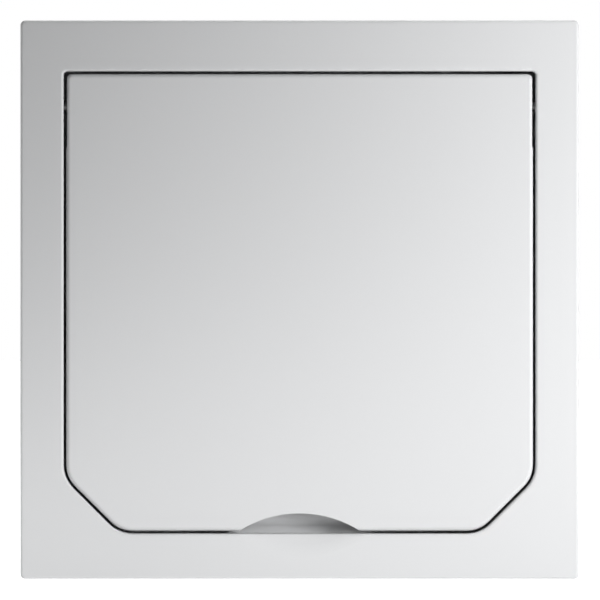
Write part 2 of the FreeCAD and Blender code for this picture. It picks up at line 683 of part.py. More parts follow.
def hollow_finger_dish(piece):
    """Cuts a shallow spherical dish whose rim on the front face mirrors the lid's notch."""
    ball = piece.body.newObject("PartDesign::SubtractiveSphere", "cover_plate_finger_dish")
    rim = dim.notch_radius
    ball.setExpression("Radius", dim.dish_sphere_radius.formula)
    stand_off = root(dim.dish_sphere_radius * dim.dish_sphere_radius - rim * rim)
    centre_height = rim - dim.opening_bottom - dim.dish_height
    ball.setExpression("Placement.Base.y", (-dim.plate_front - stand_off).formula)
    ball.setExpression("Placement.Base.z", centre_height.formula)
    doc.recompute()
    piece.fillet("dish_rim", dim.dish_rim_radius, on_circle(rim, (ZERO, centre_height)))


def make_lid():
    piece = Piece("lid")
    outline = opening_outline(-dim.lid_gap)
    side = opening_half - dim.lid_gap
    top = dim.opening_top - dim.lid_gap
    bottom = -dim.opening_bottom + dim.lid_gap
    piece.block("panel", "front", [polygon(*outline)], lid_rear, dim.plate_front)
    piece.fillet("cut_corners", dim.opening_corner_radius - dim.lid_gap, along("y", *outline[2:]))
    piece.fillet("top_corners", dim.lid_corner_radius, along("y", *outline[:2]))
    piece.fillet("front_edge", dim.lid_edge_radius, at_depth(dim.plate_front))
    notch = circle(ZERO, bottom + dim.notch_height - dim.notch_radius, dim.notch_radius)
    piece.cut("finger_notch", "front", [notch], lid_rear, dim.plate_front)
    narrow = side - dim.lid_relief
    step = top - dim.lid_relief_height
    reliefs = [
        rectangle(narrow, side + dim.bite, step, top + dim.bite),
        rectangle(-side - dim.bite, -narrow, step, top + dim.bite),
    ]
    piece.cut("side_relief", "front", reliefs, lid_rear, dim.plate_front)
    rib_rear = lid_rear - dim.lid_rib_height
    piece.block("stiffening_rib", "front", [lid_rib(bottom)], rib_rear, lid_rear + dim.bite)

    barrel = circle(hinge_level, hinge_height, dim.knuckle_radius)
    bay_end = dim.knuckle_inner + dim.spring_bay
    piece.block("middle_barrel", "side", [barrel], -dim.knuckle_inner, dim.knuckle_inner)
    piece.block("right_barrel", "side", [barrel], bay_end, narrow)
    piece.block("left_barrel", "side", [barrel], -narrow, -bay_end)
    bay = circle(hinge_level, hinge_height, dim.bay_radius)
    piece.cut("right_spring_bay", "side", [bay], dim.knuckle_inner, bay_end)
    piece.cut("left_spring_bay", "side", [bay], -bay_end, -dim.knuckle_inner)
    bore = circle(hinge_level, hinge_height, dim.hinge_pin_radius + dim.hinge_play)
    piece.cut("hinge_bore", "side", [bore], -opening_half, opening_half)
    add_spring_hooks(piece)


def add_spring_hooks(piece):
    """L-shaped hooks on the back of the lid, each with its lip behind a spring leg."""
    lip_front = hinge_level - dim.lid_coil_radius - dim.lid_wire / 2 - dim.leg_gap
    lip_rear = lip_front - dim.hook_lip
    high = hinge_height - dim.hook_drop
    low = high - dim.hook_height
    drift = dim.lid_leg * dim.lid_coil_pitch / (dim.lid_coil_radius * (2 * math.pi))
    post_inner = coil_inner - drift - dim.lid_wire - dim.hook_post
    post_outer = post_inner + dim.hook_post
    lip_outer = coil_inner + dim.lid_wire
    posts = [rectangle(post_inner * turn, post_outer * turn, low, high) for turn in (1, -1)]
    piece.block("hook_posts", "front", posts, lip_rear, lid_rear + dim.bite)
    lips = [rectangle(post_inner * turn, lip_outer * turn, low, high) for turn in (1, -1)]
    piece.block("hook_lips", "front", lips, lip_rear, lip_front)


def lid_rib(bottom):
    """U-shaped rib that follows the sides and cut corners of the lid and passes over the notch."""
    foot = bottom + dim.notch_height + dim.notch_web
    top = hinge_height - dim.lid_rib_end
    points = []
    for inset, base in ((ZERO, foot), (dim.lid_rib_wall, foot + dim.lid_rib_wall)):
        inward = dim.lid_gap + dim.lid_rib_inset + inset
        side = opening_half - inward
        shoulder = -dim.opening_bottom + dim.opening_chamfer + inward * (1 - OFFSET_LEG)
        leg = shoulder - base
        half = [(side, top), (side, shoulder), (side - leg, base)]
        path = [(-x, z) for x, z in half] + half[::-1]
        points += path if not points else path[::-1]
    return polygon(*points)


def make_hinge_pin():
    piece = Piece("hinge_pin")
    reach = opening_half + dim.recess_wall - dim.hinge_pin_short
    rod = circle(hinge_level, hinge_height, dim.hinge_pin_radius)
    piece.block("rod", "side", [rod], -reach, reach)
    piece.chamfer("ends", dim.bite, lambda edge: abs(abs(middle(edge).x) - reach.value) < LIMIT)


def make_socket_well():
    piece = Piece("socket_well")
    rim = dim.well_radius + dim.well_rim
    hole = dim.screw_radius + dim.screw_clearance
    head = dim.screw_head_radius + dim.screw_clearance
    cone_top = well_floor_front - dim.screw_head_edge
    profile = [
        (hole, bracket_front),
        (hole, cone_top - (head - hole)),
        (head, cone_top),
        (head, well_floor_front),
        (dim.well_radius, well_floor_front),
        (dim.well_radius, rim_front),
        (rim, rim_front),
        (rim, recess_front),
        (well_outer, recess_front),
        (well_outer, base_front),
        (dim.boss_radius, base_front),
        (dim.boss_radius, bracket_front),
    ]
    piece.revolve("bowl", profile)
    piece.fillet("rim_edges", dim.rim_edge_radius, at_depth(rim_front))
    guides = []
    for turn in (1, -1):
        inner = (dim.well_radius - dim.guide_depth) * turn
        outer = (dim.well_radius + dim.well_wall / 2) * turn
        guides.append(rectangle(inner, outer, -dim.guide_width / 2, dim.guide_width / 2))
    piece.block("guide_ribs", "front", guides, well_floor_front - dim.bite, rim_front - dim.guide_drop)
    pin_holes = [circle(x, z, dim.pin_hole_radius) for x, z in mirrored_pairs(pin_x, ZERO)]
    piece.cut("pin_holes", "front", pin_holes, base_front, well_floor_front)
    mouth = both(at_depth(well_floor_front), on_circle(dim.pin_hole_radius, *mirrored_pairs(pin_x, ZERO)))
    piece.chamfer("pin_lead_in", dim.pin_lead_in, mouth)
    slot_inner = arm_outer - dim.arm_bow - dim.arm_thickness - dim.arm_gap
    slot_outer = dim.well_radius + dim.earth_slot_relief
    half = dim.earth_slot_width / 2
    slots = [
        rectangle(-half, half, slot_inner, slot_outer),
        rectangle(-half, half, -slot_outer, -slot_inner),
    ]
    piece.cut("earth_slots", "front", slots, base_front, rim_front - dim.earth_slot_drop)


def make_centre_screw():
    piece = Piece("centre_screw")
    cone_top = well_floor_front - dim.screw_head_edge
    tip = bracket_rear - dim.screw_reach
    point = dim.screw_radius / 3
    profile = [
        (ZERO, tip),
        (dim.screw_radius - point, tip),
        (dim.screw_radius, tip + point),
        (dim.screw_radius, cone_top - (dim.screw_head_radius - dim.screw_radius)),
        (dim.screw_head_radius, cone_top),
        (dim.screw_head_radius, well_floor_front),
        (ZERO, well_floor_front),
    ]
    piece.revolve("shank", profile)
    groove = screw_groove(ZERO, ZERO, dim.screw_head_radius)
    piece.cut("slot", "front", [groove], well_floor_front - dim.screw_slot_depth, well_floor_front)


def screw_groove(x, z, head):
    """Straight driver slot across a screw head."""
    reach = head + dim.bite
    return rectangle(x - reach, x + reach, z - dim.screw_slot / 2, z + dim.screw_slot / 2)


def make_mounting_ring():
    piece = Piece("mounting_ring")
    half = dim.box_spacing / 2 + dim.box_slot_length / 2 + dim.ring_margin
    outline = octagon(half, half, dim.ring_chamfer)
    piece.block("sheet", "front", [outline], ZERO, dim.ring_thickness)
    piece.fillet("corners", dim.ring_corner_radius, along("y", *outline[1]))
    for name, turn in (("upper_leg", 1), ("lower_leg", -1)):
        leg = rectangle(-dim.leg_width / 2, dim.leg_width / 2, leg_inner * turn, leg_outer * turn)
        piece.block(name, "front", [leg], -dim.leg_length, dim.bite)
    leg_corners = mirrored_pairs(dim.leg_width / 2, dim.leg_length)
    piece.fillet("leg_ends", dim.leg_corner_radius, along("z", *leg_corners))
    piece.cut("well_opening", "front", [circle(ZERO, ZERO, ring_opening)], ZERO, dim.ring_thickness)
    place = dim.box_spacing / 2
    reach = dim.box_slot_length / 2 - dim.box_slot_radius
    slots = []
    for turn in (1, -1):
        inner, outer = (place - reach) * turn, (place + reach) * turn
        slots.append(slot(inner, ZERO, outer, ZERO, dim.box_slot_radius))
        slots.append(slot(ZERO, inner, ZERO, outer, dim.box_slot_radius))
    piece.cut("box_screw_slots", "front", slots, ZERO, dim.ring_thickness)
    hole = dim.claw_screw_radius + dim.screw_clearance
    claw_holes = [circle(claw_screw_x * turn, dim.claw_height * -turn, hole) for turn in (1, -1)]
    piece.cut("claw_screw_holes", "front", claw_holes, ZERO, dim.ring_thickness)
    window_low = -dim.leg_length + dim.leg_window_end
    window = rectangle(
        -dim.leg_window_width / 2, dim.leg_window_width / 2, window_low, window_low + dim.leg_window_length)
    piece.cut("leg_windows", "top", [window], -leg_outer, leg_outer)


def make_contact_base():
    piece = Piece("contact_base")
    outline = octagon(base_half_width, base_half_height, dim.base_chamfer)
    piece.block("block", "front", [outline], base_rear, base_front)
    piece.fillet("corners", dim.base_corner_radius, along("y", *outline[1]))
    piece.chamfer("parting_edge", dim.parting, at_depth(base_rear))
    pocket = circle(ZERO, ZERO, shutter_pocket)
    piece.cut("shutter_pocket", "front", [pocket], shutter_pocket_rear, base_front)
    channel = dim.bracket_half_width + dim.bracket_channel_gap
    channel_end = arm_outer + dim.bracket_channel_gap
    channel_loop = rectangle(-channel, channel, -channel_end, channel_end)
    piece.cut("bracket_channel", "front", [channel_loop], bracket_rear, base_front)
    chambers = [contact_chamber(turn) for turn in (1, -1)]
    piece.cut("contact_chambers", "front", chambers, base_rear, chamber_front)
    guide = dim.pin_hole_radius + dim.guide_hole_gap
    guides = [circle(x, z, guide) for x, z in mirrored_pairs(pin_x, ZERO)]
    piece.cut("guide_holes", "front", guides, chamber_front - dim.bite, base_front)
    terminals = [terminal_chamber(turn) for turn in (1, 0, -1)]
    piece.cut("terminal_chambers", "front", terminals, base_rear, terminal_front)
    link_inner = flag_inner - dim.bite
    link_outer = flag_inner + dim.contact_sheet + dim.bite
    low, high = dim.chamber_half_height - dim.bite, dim.terminal_low + dim.bite
    links = [rectangle(link_inner * turn, link_outer * turn, low, high) for turn in (1, -1)]
    piece.cut("busbar_links", "front", links, base_rear, flag_front + dim.bite)
    tab = dim.bracket_half_width + dim.bite
    tab_slot = rectangle(-tab, tab, busbar_low - dim.bite, busbar_top + dim.bite)
    piece.cut("earth_tab_slot", "front", [tab_slot], terminal_front - dim.bite, bracket_rear + dim.bite)
    tip_hole = circle(ZERO, ZERO, dim.screw_radius + dim.screw_clearance)
    piece.cut("screw_tip_hole", "front", [tip_hole], bracket_rear - dim.screw_reach - dim.bite, bracket_rear)
    screw_hole = dim.cover_screw_radius + dim.screw_play
    holes = [circle(x, z, screw_hole) for x, z in mirrored_pairs(dim.cover_screw_x, -dim.cover_screw_drop)]
    piece.cut("cover_screw_holes", "front", holes, base_rear, base_rear + dim.cover_screw_length + dim.bite)
    add_leg_lugs(piece)
    add_claw_ears(piece)


def contact_chamber(turn):
    reach = dim.contact_flare + dim.contact_sheet + dim.chamber_gap
    return rectangle(
        (pin_x - reach) * turn, (pin_x + reach) * turn, -dim.chamber_half_height, dim.chamber_half_height)


def terminal_chamber(turn):
    """Space of one terminal: the outer ones also take the busbar's upright on their inner side."""
    centre = dim.terminal_offset * turn
    outer = centre + dim.terminal_half_width * (turn if turn else 1)
    inner = (flag_inner - dim.bite) * turn if turn else -dim.terminal_half_width
    return rectangle(inner, outer, dim.terminal_low, dim.terminal_high)


def add_leg_lugs(piece):
    """Wedge lugs above and below that catch the windows of the ring's snap legs."""
    rear = -dim.leg_length + dim.leg_window_end + dim.lug_clearance
    front = rear + dim.leg_window_length - dim.lug_clearance * 2
    reach = dim.leg_window_width / 2 - dim.lug_clearance
    for name, turn in (("upper_lug", 1), ("lower_lug", -1)):
        foot = (base_half_height - dim.bite) * turn
        face = base_half_height * turn
        crest = leg_outer * turn
        wedge = polygon((rear, foot), (front, foot), (front, face), (rear, crest))
        piece.block(name, "side", [wedge], -reach, reach)


def add_claw_ears(piece):
    """Two bored ears on each side that carry a claw by its trunnions."""
    wall = base_half_width - dim.bite
    end = claw_pivot_x + dim.ear_margin
    near = dim.claw_half_width + dim.ear_gap
    far = near + dim.ear_thickness
    ears = []
    for turn in (1, -1):
        middle_height = dim.claw_height * -turn
        ears.append(rectangle(wall * turn, end * turn, middle_height + near, middle_height + far))
        ears.append(rectangle(wall * turn, end * turn, middle_height - far, middle_height - near))
    depth = -dim.claw_pivot_depth
    piece.block("claw_ears", "front", ears, depth - dim.ear_margin, depth + dim.ear_margin)
    corners = mirrored_pairs(end, -depth - dim.ear_margin) + mirrored_pairs(end, -depth + dim.ear_margin)
    piece.fillet("ear_ends", dim.ear_corner_radius, along("z", *corners))
    bore = dim.claw_pivot_radius + dim.claw_pivot_play
    bores = [circle(x, z, bore) for x, z in mirrored_pairs(claw_pivot_x, depth)]
    reach = dim.claw_height + far
    piece.cut("claw_bores", "top", bores, -reach, reach)


def make_rear_cover():
    piece = Piece("rear_cover")
    outline = octagon(base_half_width, base_half_height, dim.base_chamfer)
    piece.block("sheet", "front", [outline], cover_rear, base_rear)
    piece.fillet("corners", dim.base_corner_radius, along("y", *outline[1]))
    piece.chamfer("parting_edge", dim.parting, at_depth(base_rear))
    piece.fillet("rear_edge", dim.rear_cover_edge_radius, at_depth(cover_rear))
    barrier_rear = cover_rear - dim.barrier_height
    piece.block("barriers", "front", terminal_barriers(), barrier_rear, cover_rear + dim.bite)
    piece.fillet("barrier_edges", dim.barrier_edge_radius, at_depth(barrier_rear))
    spots = wire_spots()
    wires = [circle(x, z, dim.wire_radius) for x, z in spots]
    piece.cut("wire_entries", "front", wires, cover_rear, base_rear)
    mouth = both(at_depth(cover_rear), on_circle(dim.wire_radius, *spots))
    piece.chamfer("wire_lead_in", dim.wire_lead_in, mouth)
    slots = [button_outline(turn, dim.button_clearance) for turn in (1, 0, -1)]
    piece.cut("button_slots", "front", slots, cover_rear, base_rear)
    hole = dim.cover_screw_radius + dim.screw_clearance
    holes = [circle(x, z, hole) for x, z in mirrored_pairs(dim.cover_screw_x, -dim.cover_screw_drop)]
    piece.cut("screw_holes", "front", holes, cover_rear, base_rear)


def terminal_barriers():
    """Upright walls between the three terminals."""
    reach = dim.barrier_width / 2
    top = dim.wire_height + dim.wire_radius
    centres = [dim.terminal_offset / 2 * turn for turn in (1, -1)]
    return [rectangle(x - reach, x + reach, dim.button_low, top) for x in centres]


def wire_spots():
    reach = dim.wire_spacing / 2
    centres = [dim.terminal_offset * turn for turn in (1, 0, -1)]
    return [(centre + offset, dim.wire_height) for centre in centres for offset in (reach, -reach)]


def button_outline(turn, grow):
    centre = dim.terminal_offset * turn
    reach = dim.button_half_width + grow
    return rectangle(
        centre - reach, centre + reach, dim.button_low - grow, dim.button_low + dim.button_height + grow)


def make_rear_cover_screws():
    piece = Piece("rear_cover_screws")
    piece.body.AllowCompound = True
    spots = mirrored_pairs(dim.cover_screw_x, -dim.cover_screw_drop)
    head_rear = cover_rear - dim.cover_screw_head_height
    heads = [circle(x, z, dim.cover_screw_head) for x, z in spots]
    piece.block("heads", "front", heads, head_rear, cover_rear)
    piece.fillet("head_edges", dim.rim_edge_radius, at_depth(head_rear))
    shanks = [circle(x, z, dim.cover_screw_radius) for x, z in spots]
    piece.block("shanks", "front", shanks, cover_rear - dim.bite, base_rear + dim.cover_screw_length)
    grooves = [screw_groove(x, z, dim.cover_screw_head) for x, z in spots]
    piece.cut("slots", "front", grooves, head_rear, head_rear + dim.screw_slot_depth)


def make_pin_contact(name, turn):
    """Sprung fork for one plug pin: two leaves with a neck and a flared mouth, and a busbar."""
    piece = Piece(name)
    rear = base_rear + dim.contact_seat
    tip = chamber_front - dim.contact_tip_gap
    neck = tip - dim.contact_mouth
    taper = neck - dim.contact_taper
    inner = [
        (dim.contact_gap, rear + dim.contact_sheet),
        (dim.contact_gap, taper),
        (dim.contact_neck, neck),
        (dim.contact_flare, tip),
    ]
    outer = [(x + dim.contact_sheet, depth) for x, depth in inner[1:]]
    half = [(dim.contact_gap + dim.contact_sheet, rear)] + outer + inner[::-1]
    loop = half + [(-x, depth) for x, depth in half[::-1]]
    centre = pin_x * turn
    fork = polygon(*[(centre + x, depth) for x, depth in loop])
    piece.block("fork", "top", [fork], -dim.contact_half_width, dim.contact_half_width)
    inner_radius = dim.contact_bend_radius
    outer_radius = inner_radius + dim.contact_sheet
    for bend, reach, depth, radius in (
            ("outer_bends", dim.contact_gap + dim.contact_sheet, rear, outer_radius),
            ("inner_bends", dim.contact_gap, rear + dim.contact_sheet, inner_radius)):
        piece.fillet(bend, radius, along("z", (centre - reach, -depth), (centre + reach, -depth)))
    upright = rectangle(
        flag_inner * turn, (flag_inner + dim.contact_sheet) * turn,
        dim.contact_half_width - dim.bite, busbar_top)
    piece.block("upright", "front", [upright], flag_rear, flag_front)
    bar_end = dim.terminal_offset + dim.clamp_half_width
    bar = rectangle(flag_inner * turn, bar_end * turn, busbar_low, busbar_top)
    piece.block("busbar", "front", [bar], flag_rear, flag_front)
    for bend, x, z, radius in (
            ("busbar_bend", flag_inner, busbar_top, outer_radius),
            ("busbar_hollow", flag_inner + dim.contact_sheet, busbar_low, inner_radius)):
        piece.fillet(bend, radius, along("y", (x * turn, z)))


def make_earth_bracket():
    piece = Piece("earth_bracket")
    half = dim.bracket_half_width
    strap = rectangle(-half, half, -arm_outer, arm_outer)
    piece.block("crossbar", "front", [strap], bracket_rear, bracket_front)
    bend = well_floor_front + dim.arm_straight
    bow = bend + dim.arm_bend
    lip = bow + dim.arm_bend
    outer = [
        (bracket_rear, arm_outer),
        (bend, arm_outer),
        (bow, arm_outer - dim.arm_bow),
        (lip, arm_outer - dim.arm_bow + dim.arm_lip),
    ]
    arm = outer + [(depth, z - dim.arm_thickness) for depth, z in outer[::-1]]
    piece.block("upper_arm", "side", [polygon(*arm)], -dim.arm_half_width, dim.arm_half_width)
    lower = [(depth, -z) for depth, z in arm]
    piece.block("lower_arm", "side", [polygon(*lower)], -dim.arm_half_width, dim.arm_half_width)
    bow_outer = arm_outer - dim.arm_bow
    wide = [(-bend, arm_outer), (-bow, bow_outer - dim.arm_thickness)]
    tight = [(-bend, arm_outer - dim.arm_thickness), (-bow, bow_outer)]
    for name, spots, radius in (
            ("wide_bends", wide, dim.arm_bend_radius + dim.arm_thickness),
            ("tight_bends", tight, dim.arm_bend_radius)):
        piece.fillet(name, radius, along("x", *spots, *[(y, -z) for y, z in spots]))
    tab = rectangle(-half, half, busbar_low, busbar_top)
    piece.block("busbar", "front", [tab], flag_rear, bracket_rear + dim.bite)
    thread = circle(ZERO, ZERO, dim.screw_radius + dim.screw_play)
    piece.cut("thread", "front", [thread], bracket_rear, bracket_front)


def make_clamp(name, turn):
    """Push-in clamp: an anchor leg on the chamber wall, a bend, and a leaf towards the busbar."""
    piece = Piece(name)
    thickness = dim.clamp_sheet
    along_depth = root(thickness * thickness + thickness * thickness * clamp_slope * clamp_slope)
    tip = clamp_rear + dim.clamp_rise
    anchor = terminal_front - dim.clamp_anchor
    inner_z = clamp_low + thickness
    inner_depth = clamp_rear + clamp_slope * thickness + along_depth
    strip = polygon(
        (anchor, clamp_low),
        (clamp_rear, clamp_low),
        (tip, clamp_high),
        (tip + along_depth, clamp_high),
        (inner_depth, inner_z),
        (anchor, inner_z),
    )
    centre = dim.terminal_offset * turn
    piece.block("strip", "side", [strip], centre - dim.clamp_half_width, centre + dim.clamp_half_width)
    piece.fillet("inner_bend", dim.clamp_bend_radius, along("x", (-inner_depth, inner_z)))
    piece.fillet("outer_bend", dim.clamp_bend_radius + thickness, along("x", (-clamp_rear, clamp_low)))


def make_release_button(name, turn):
    piece = Piece(name)
    rear = cover_rear - dim.button_proud
    piece.block("stem", "front", [button_outline(turn, ZERO)], rear, button_front)
    piece.chamfer("rear_edges", dim.button_edge, at_depth(rear))
    shoulder_rear = base_rear + dim.button_seat
    shoulder_front = shoulder_rear + dim.button_shoulder_length
    collar = button_outline(turn, dim.button_shoulder)
    piece.block("shoulder", "front", [collar], shoulder_rear, shoulder_front)
    centre = dim.terminal_offset * turn
    reach = dim.button_groove / 2
    groove = rectangle(
        centre - reach, centre + reach, dim.button_low - dim.bite,
        dim.button_low + dim.button_height + dim.bite)
    piece.cut("tool_groove", "front", [groove], rear, rear + dim.button_groove_depth)


def make_shutter():
    """Hub with two wings; a ramp on each wing turns the shutter when both plug pins press on it."""
    piece = Piece("shutter")
    wings = rectangle(
        -dim.shutter_reach, dim.shutter_reach, -dim.shutter_half_width, dim.shutter_half_width)
    piece.block("wings", "front", [wings], shutter_rear, shutter_front)
    piece.fillet("wing_corners", dim.shutter_corner_radius, along("y", *wings[1]))
    piece.block("hub", "front", [circle(ZERO, ZERO, dim.shutter_hub_radius)], shutter_rear, shutter_front)
    bore = circle(ZERO, ZERO, dim.boss_radius + dim.shutter_play)
    piece.cut("bore", "front", [bore], shutter_rear, shutter_front)
    ramp_start = pin_x - dim.pin_hole_radius
    for name, turn in (("right_ramp", 1), ("left_ramp", -1)):
        half = dim.shutter_half_width * turn
        ramp = polygon(
            (shutter_front, half * -0.5),
            (shutter_front, half),
            (shutter_front - dim.shutter_ramp_drop, half),
        )
        low, high = (ramp_start, dim.shutter_reach) if turn > 0 else (-dim.shutter_reach, -ramp_start)
        piece.cut(name, "side", [ramp], low, high)


def make_claw(name, turn):
    """Bent sheet claw with a slotted front flange, a toothed rear flange and two trunnions."""
    piece = Piece(name)
    half_sheet = dim.claw_sheet / 2
    inner, outer = claw_pivot_x - half_sheet, claw_pivot_x + half_sheet
    flange_end = claw_pivot_x + dim.claw_flange
    tooth_end = claw_pivot_x + dim.claw_reach
    tail_rear = -dim.claw_pivot_depth - dim.claw_tail - half_sheet
    tail_front = tail_rear + dim.claw_sheet
    profile = [
        (inner, claw_flange_front),
        (flange_end, claw_flange_front),
        (flange_end, claw_flange_rear),
        (outer, claw_flange_rear),
        (outer, tail_front),
        (tooth_end, tail_front),
        (tooth_end, tail_rear),
        (inner, tail_rear),
    ]
    height = dim.claw_height * -turn
    low, high = height - dim.claw_half_width, height + dim.claw_half_width
    piece.block("strip", "top", [polygon(*[(x * turn, depth) for x, depth in profile])], low, high)
    bends = [(inner * turn, -claw_flange_front), (inner * turn, -tail_rear)]
    piece.fillet("bends", dim.claw_bend_radius, along("z", *bends))
    slot_loop = rectangle(
        (claw_screw_x - dim.claw_slot_inner) * turn, (claw_screw_x + dim.claw_slot_outer) * turn,
        height - dim.claw_slot_half_height, height + dim.claw_slot_half_height)
    piece.cut("screw_slot", "front", [slot_loop], claw_flange_rear, claw_flange_front)
    third = dim.claw_half_width * 2 / 3
    notches = []
    for step in (-0.5, 0.5):
        valley = height + third * step
        notches.append(polygon(
            ((tooth_end - dim.claw_tooth) * turn, valley),
            ((tooth_end + dim.bite) * turn, valley + third / 2),
            ((tooth_end + dim.bite) * turn, valley - third / 2)))
    piece.cut("teeth", "front", notches, tail_rear, tail_front)
    reach = dim.claw_half_width + dim.ear_gap + dim.ear_thickness
    trunnion = circle(claw_pivot_x * turn, -dim.claw_pivot_depth, dim.claw_pivot_radius)
    piece.block("trunnions", "top", [trunnion], height - reach, height + reach)


def make_claw_screw(name, turn):
    piece = Piece(name)
    x, z = claw_screw_x * turn, dim.claw_height * -turn
    head_front = dim.ring_thickness + dim.claw_screw_head_height
    piece.block("head", "front", [circle(x, z, dim.claw_screw_head)], dim.ring_thickness, head_front)
    piece.fillet("head_edge", dim.rim_edge_radius, at_depth(head_front))
    tip = claw_flange_rear - dim.claw_screw_reach
    shank = circle(x, z, dim.claw_screw_radius)
    piece.block("shank", "front", [shank], tip, dim.ring_thickness + dim.bite)
    piece.chamfer("tip", dim.claw_screw_radius / 3, at_depth(tip))
    groove = screw_groove(x, z, dim.claw_screw_head)
    piece.cut("slot", "front", [groove], head_front - dim.screw_slot_depth, head_front)


def add_spring(name, path, wire):
    """Round wire swept along a path of straight and helical stretches."""
    first = path[0]
    start = first.valueAt(first.FirstParameter)
    heading = first.tangentAt(first.FirstParameter)
    section = Part.Wire([Part.makeCircle(wire / 2, start, heading)])
    feature = doc.addObject("Part::Feature", name)
    feature.Label = name
    feature.Shape = Part.Wire(path).makePipeShell([section], True, False)
    feature.Placement = FreeCAD.Placement()
    return feature


def coil(radius, pitch, turns, frame):
    """Helix about the Z axis of its frame, starting on the frame's X axis."""
    helix = Part.makeHelix(pitch, pitch * turns, radius)
    return helix.transformed(frame.toMatrix()).Edges[0]


def make_lid_springs():
    """Torsion springs round the hinge pin, wound tighter as the lid opens.

    One leg points rearwards onto a ledge of the recess, the other down behind a hook of the lid.
    """
    radius, wire = dim.lid_coil_radius.value, dim.lid_wire.value
    floor_angle = -math.pi / 2 - math.atan(dim.floor_leg_fall.value)
    turns = round(dim.lid_coil_turns.value) + floor_angle / (2 * math.pi)
    pitch = coil_half.value * 2 / turns
    across = FreeCAD.Vector(0, math.cos(floor_angle), math.sin(floor_angle))
    inwards = FreeCAD.Vector(-1, 0, 0)
    frame = FreeCAD.Placement(
        FreeCAD.Vector(coil_outer.value, -hinge_level.value, hinge_height.value),
        FreeCAD.Rotation(across, FreeCAD.Vector(0, 0, 0), inwards, "ZXY"))
    helix = coil(radius, pitch, turns, frame)
    begin, end = helix.FirstParameter, helix.LastParameter
    ledge_point, ledge_heading = helix.valueAt(begin), helix.tangentAt(begin)
    hook_point, hook_heading = helix.valueAt(end), helix.tangentAt(end)
    tip_y = -hinge_level.value + floor_leg_end.value
    ledge_length = (tip_y - ledge_point.y) / -ledge_heading.y
    path = [
        Part.makeLine(ledge_point - ledge_heading * ledge_length, ledge_point),
        helix,
        Part.makeLine(hook_point, hook_point + hook_heading * dim.lid_leg.value),
    ]
    right = add_spring("lid_spring_right", path, wire)
    left = doc.addObject("Part::Feature", "lid_spring_left")
    left.Label = "lid_spring_left"
    left.Shape = right.Shape.mirror(FreeCAD.Vector(0, 0, 0), FreeCAD.Vector(1, 0, 0))
    left.Placement = FreeCAD.Placement()


def make_shutter_spring():
    """Compression spring between the right wing of the shutter and the pocket wall below it."""
    wire = dim.shutter_wire.value
    radius = dim.shutter_coil_radius.value
    gap = dim.shutter_coil_gap.value
    edge_reach = dim.shutter_coil_offset.value + radius + wire / 2
    low = -math.sqrt(shutter_pocket.value ** 2 - edge_reach ** 2) + gap + wire / 2
    high = -dim.shutter_half_width.value - gap - wire / 2
    turns = dim.shutter_coil_turns.value
    depth = (shutter_front.value + shutter_rear.value) / 2
    frame = FreeCAD.Placement(
        FreeCAD.Vector(dim.shutter_coil_offset.value, -depth, low), FreeCAD.Rotation())
    add_spring("shutter_spring", [coil(radius, (high - low) / turns, turns, frame)], wire)


make_cover_plate()
make_lid()
make_hinge_pin()
make_lid_springs()
make_socket_well()
make_centre_screw()
make_mounting_ring()
make_contact_base()
make_rear_cover()
make_rear_cover_screws()
make_pin_contact("line_contact", -1)
make_pin_contact("neutral_contact", 1)
make_earth_bracket()
for terminal, side_of_axis in (("line", -1), ("earth", 0), ("neutral", 1)):
    make_clamp(f"{terminal}_clamp", side_of_axis)
    make_release_button(f"{terminal}_release_button", side_of_axis)
make_shutter()
make_shutter_spring()
for side_name, side_of_axis in (("left", -1), ("right", 1)):
    make_claw(f"claw_{side_name}", side_of_axis)
    make_claw_screw(f"claw_screw_{side_name}", side_of_axis)
doc.recompute()

for item in doc.Objects:
    if "Invalid" in item.State or "Error" in item.State:
        raise RuntimeError(f"{item.Label} failed: {item.State}")
nodes = [item for item in doc.Objects if item.TypeId in ("PartDesign::Body", "Part::Feature")]
for node in nodes:
    if node.Shape.isNull() or not node.Shape.isValid() or not node.Shape.Solids:
        raise RuntimeError(f"{node.Label} has no valid solid")
os.makedirs("parts", exist_ok=True)
for node in nodes:
    node.Shape.exportStep(os.path.join("parts", f"{node.Label}.step"))
    print(f"{node.Label}: {len(node.Shape.Solids)} solid, {node.Shape.Volume:.2f} mm3")
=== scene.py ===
import bpy
import json
import math
import numpy as np
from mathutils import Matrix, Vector


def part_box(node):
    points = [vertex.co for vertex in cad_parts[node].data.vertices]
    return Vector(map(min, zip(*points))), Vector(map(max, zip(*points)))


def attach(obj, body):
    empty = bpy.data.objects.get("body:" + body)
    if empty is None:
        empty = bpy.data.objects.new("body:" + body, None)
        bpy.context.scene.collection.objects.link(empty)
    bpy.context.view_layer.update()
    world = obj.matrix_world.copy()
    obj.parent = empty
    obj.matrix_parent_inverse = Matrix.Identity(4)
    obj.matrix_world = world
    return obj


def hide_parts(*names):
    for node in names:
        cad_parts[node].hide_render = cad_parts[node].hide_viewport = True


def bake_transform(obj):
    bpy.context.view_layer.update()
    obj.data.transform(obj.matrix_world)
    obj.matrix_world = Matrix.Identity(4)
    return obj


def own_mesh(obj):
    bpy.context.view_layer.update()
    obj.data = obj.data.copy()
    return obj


bl_info = {
    "name": "Hinged-lid socket outlet",
    "version": (1, 0, 0),
    "blender": (4, 5, 0),
    "location": "3D View > Sidebar > Outlet",
    "description": "Finishes, springs, threads and stage of a flush socket outlet with a hinged lid",
    "category": "Object",
}

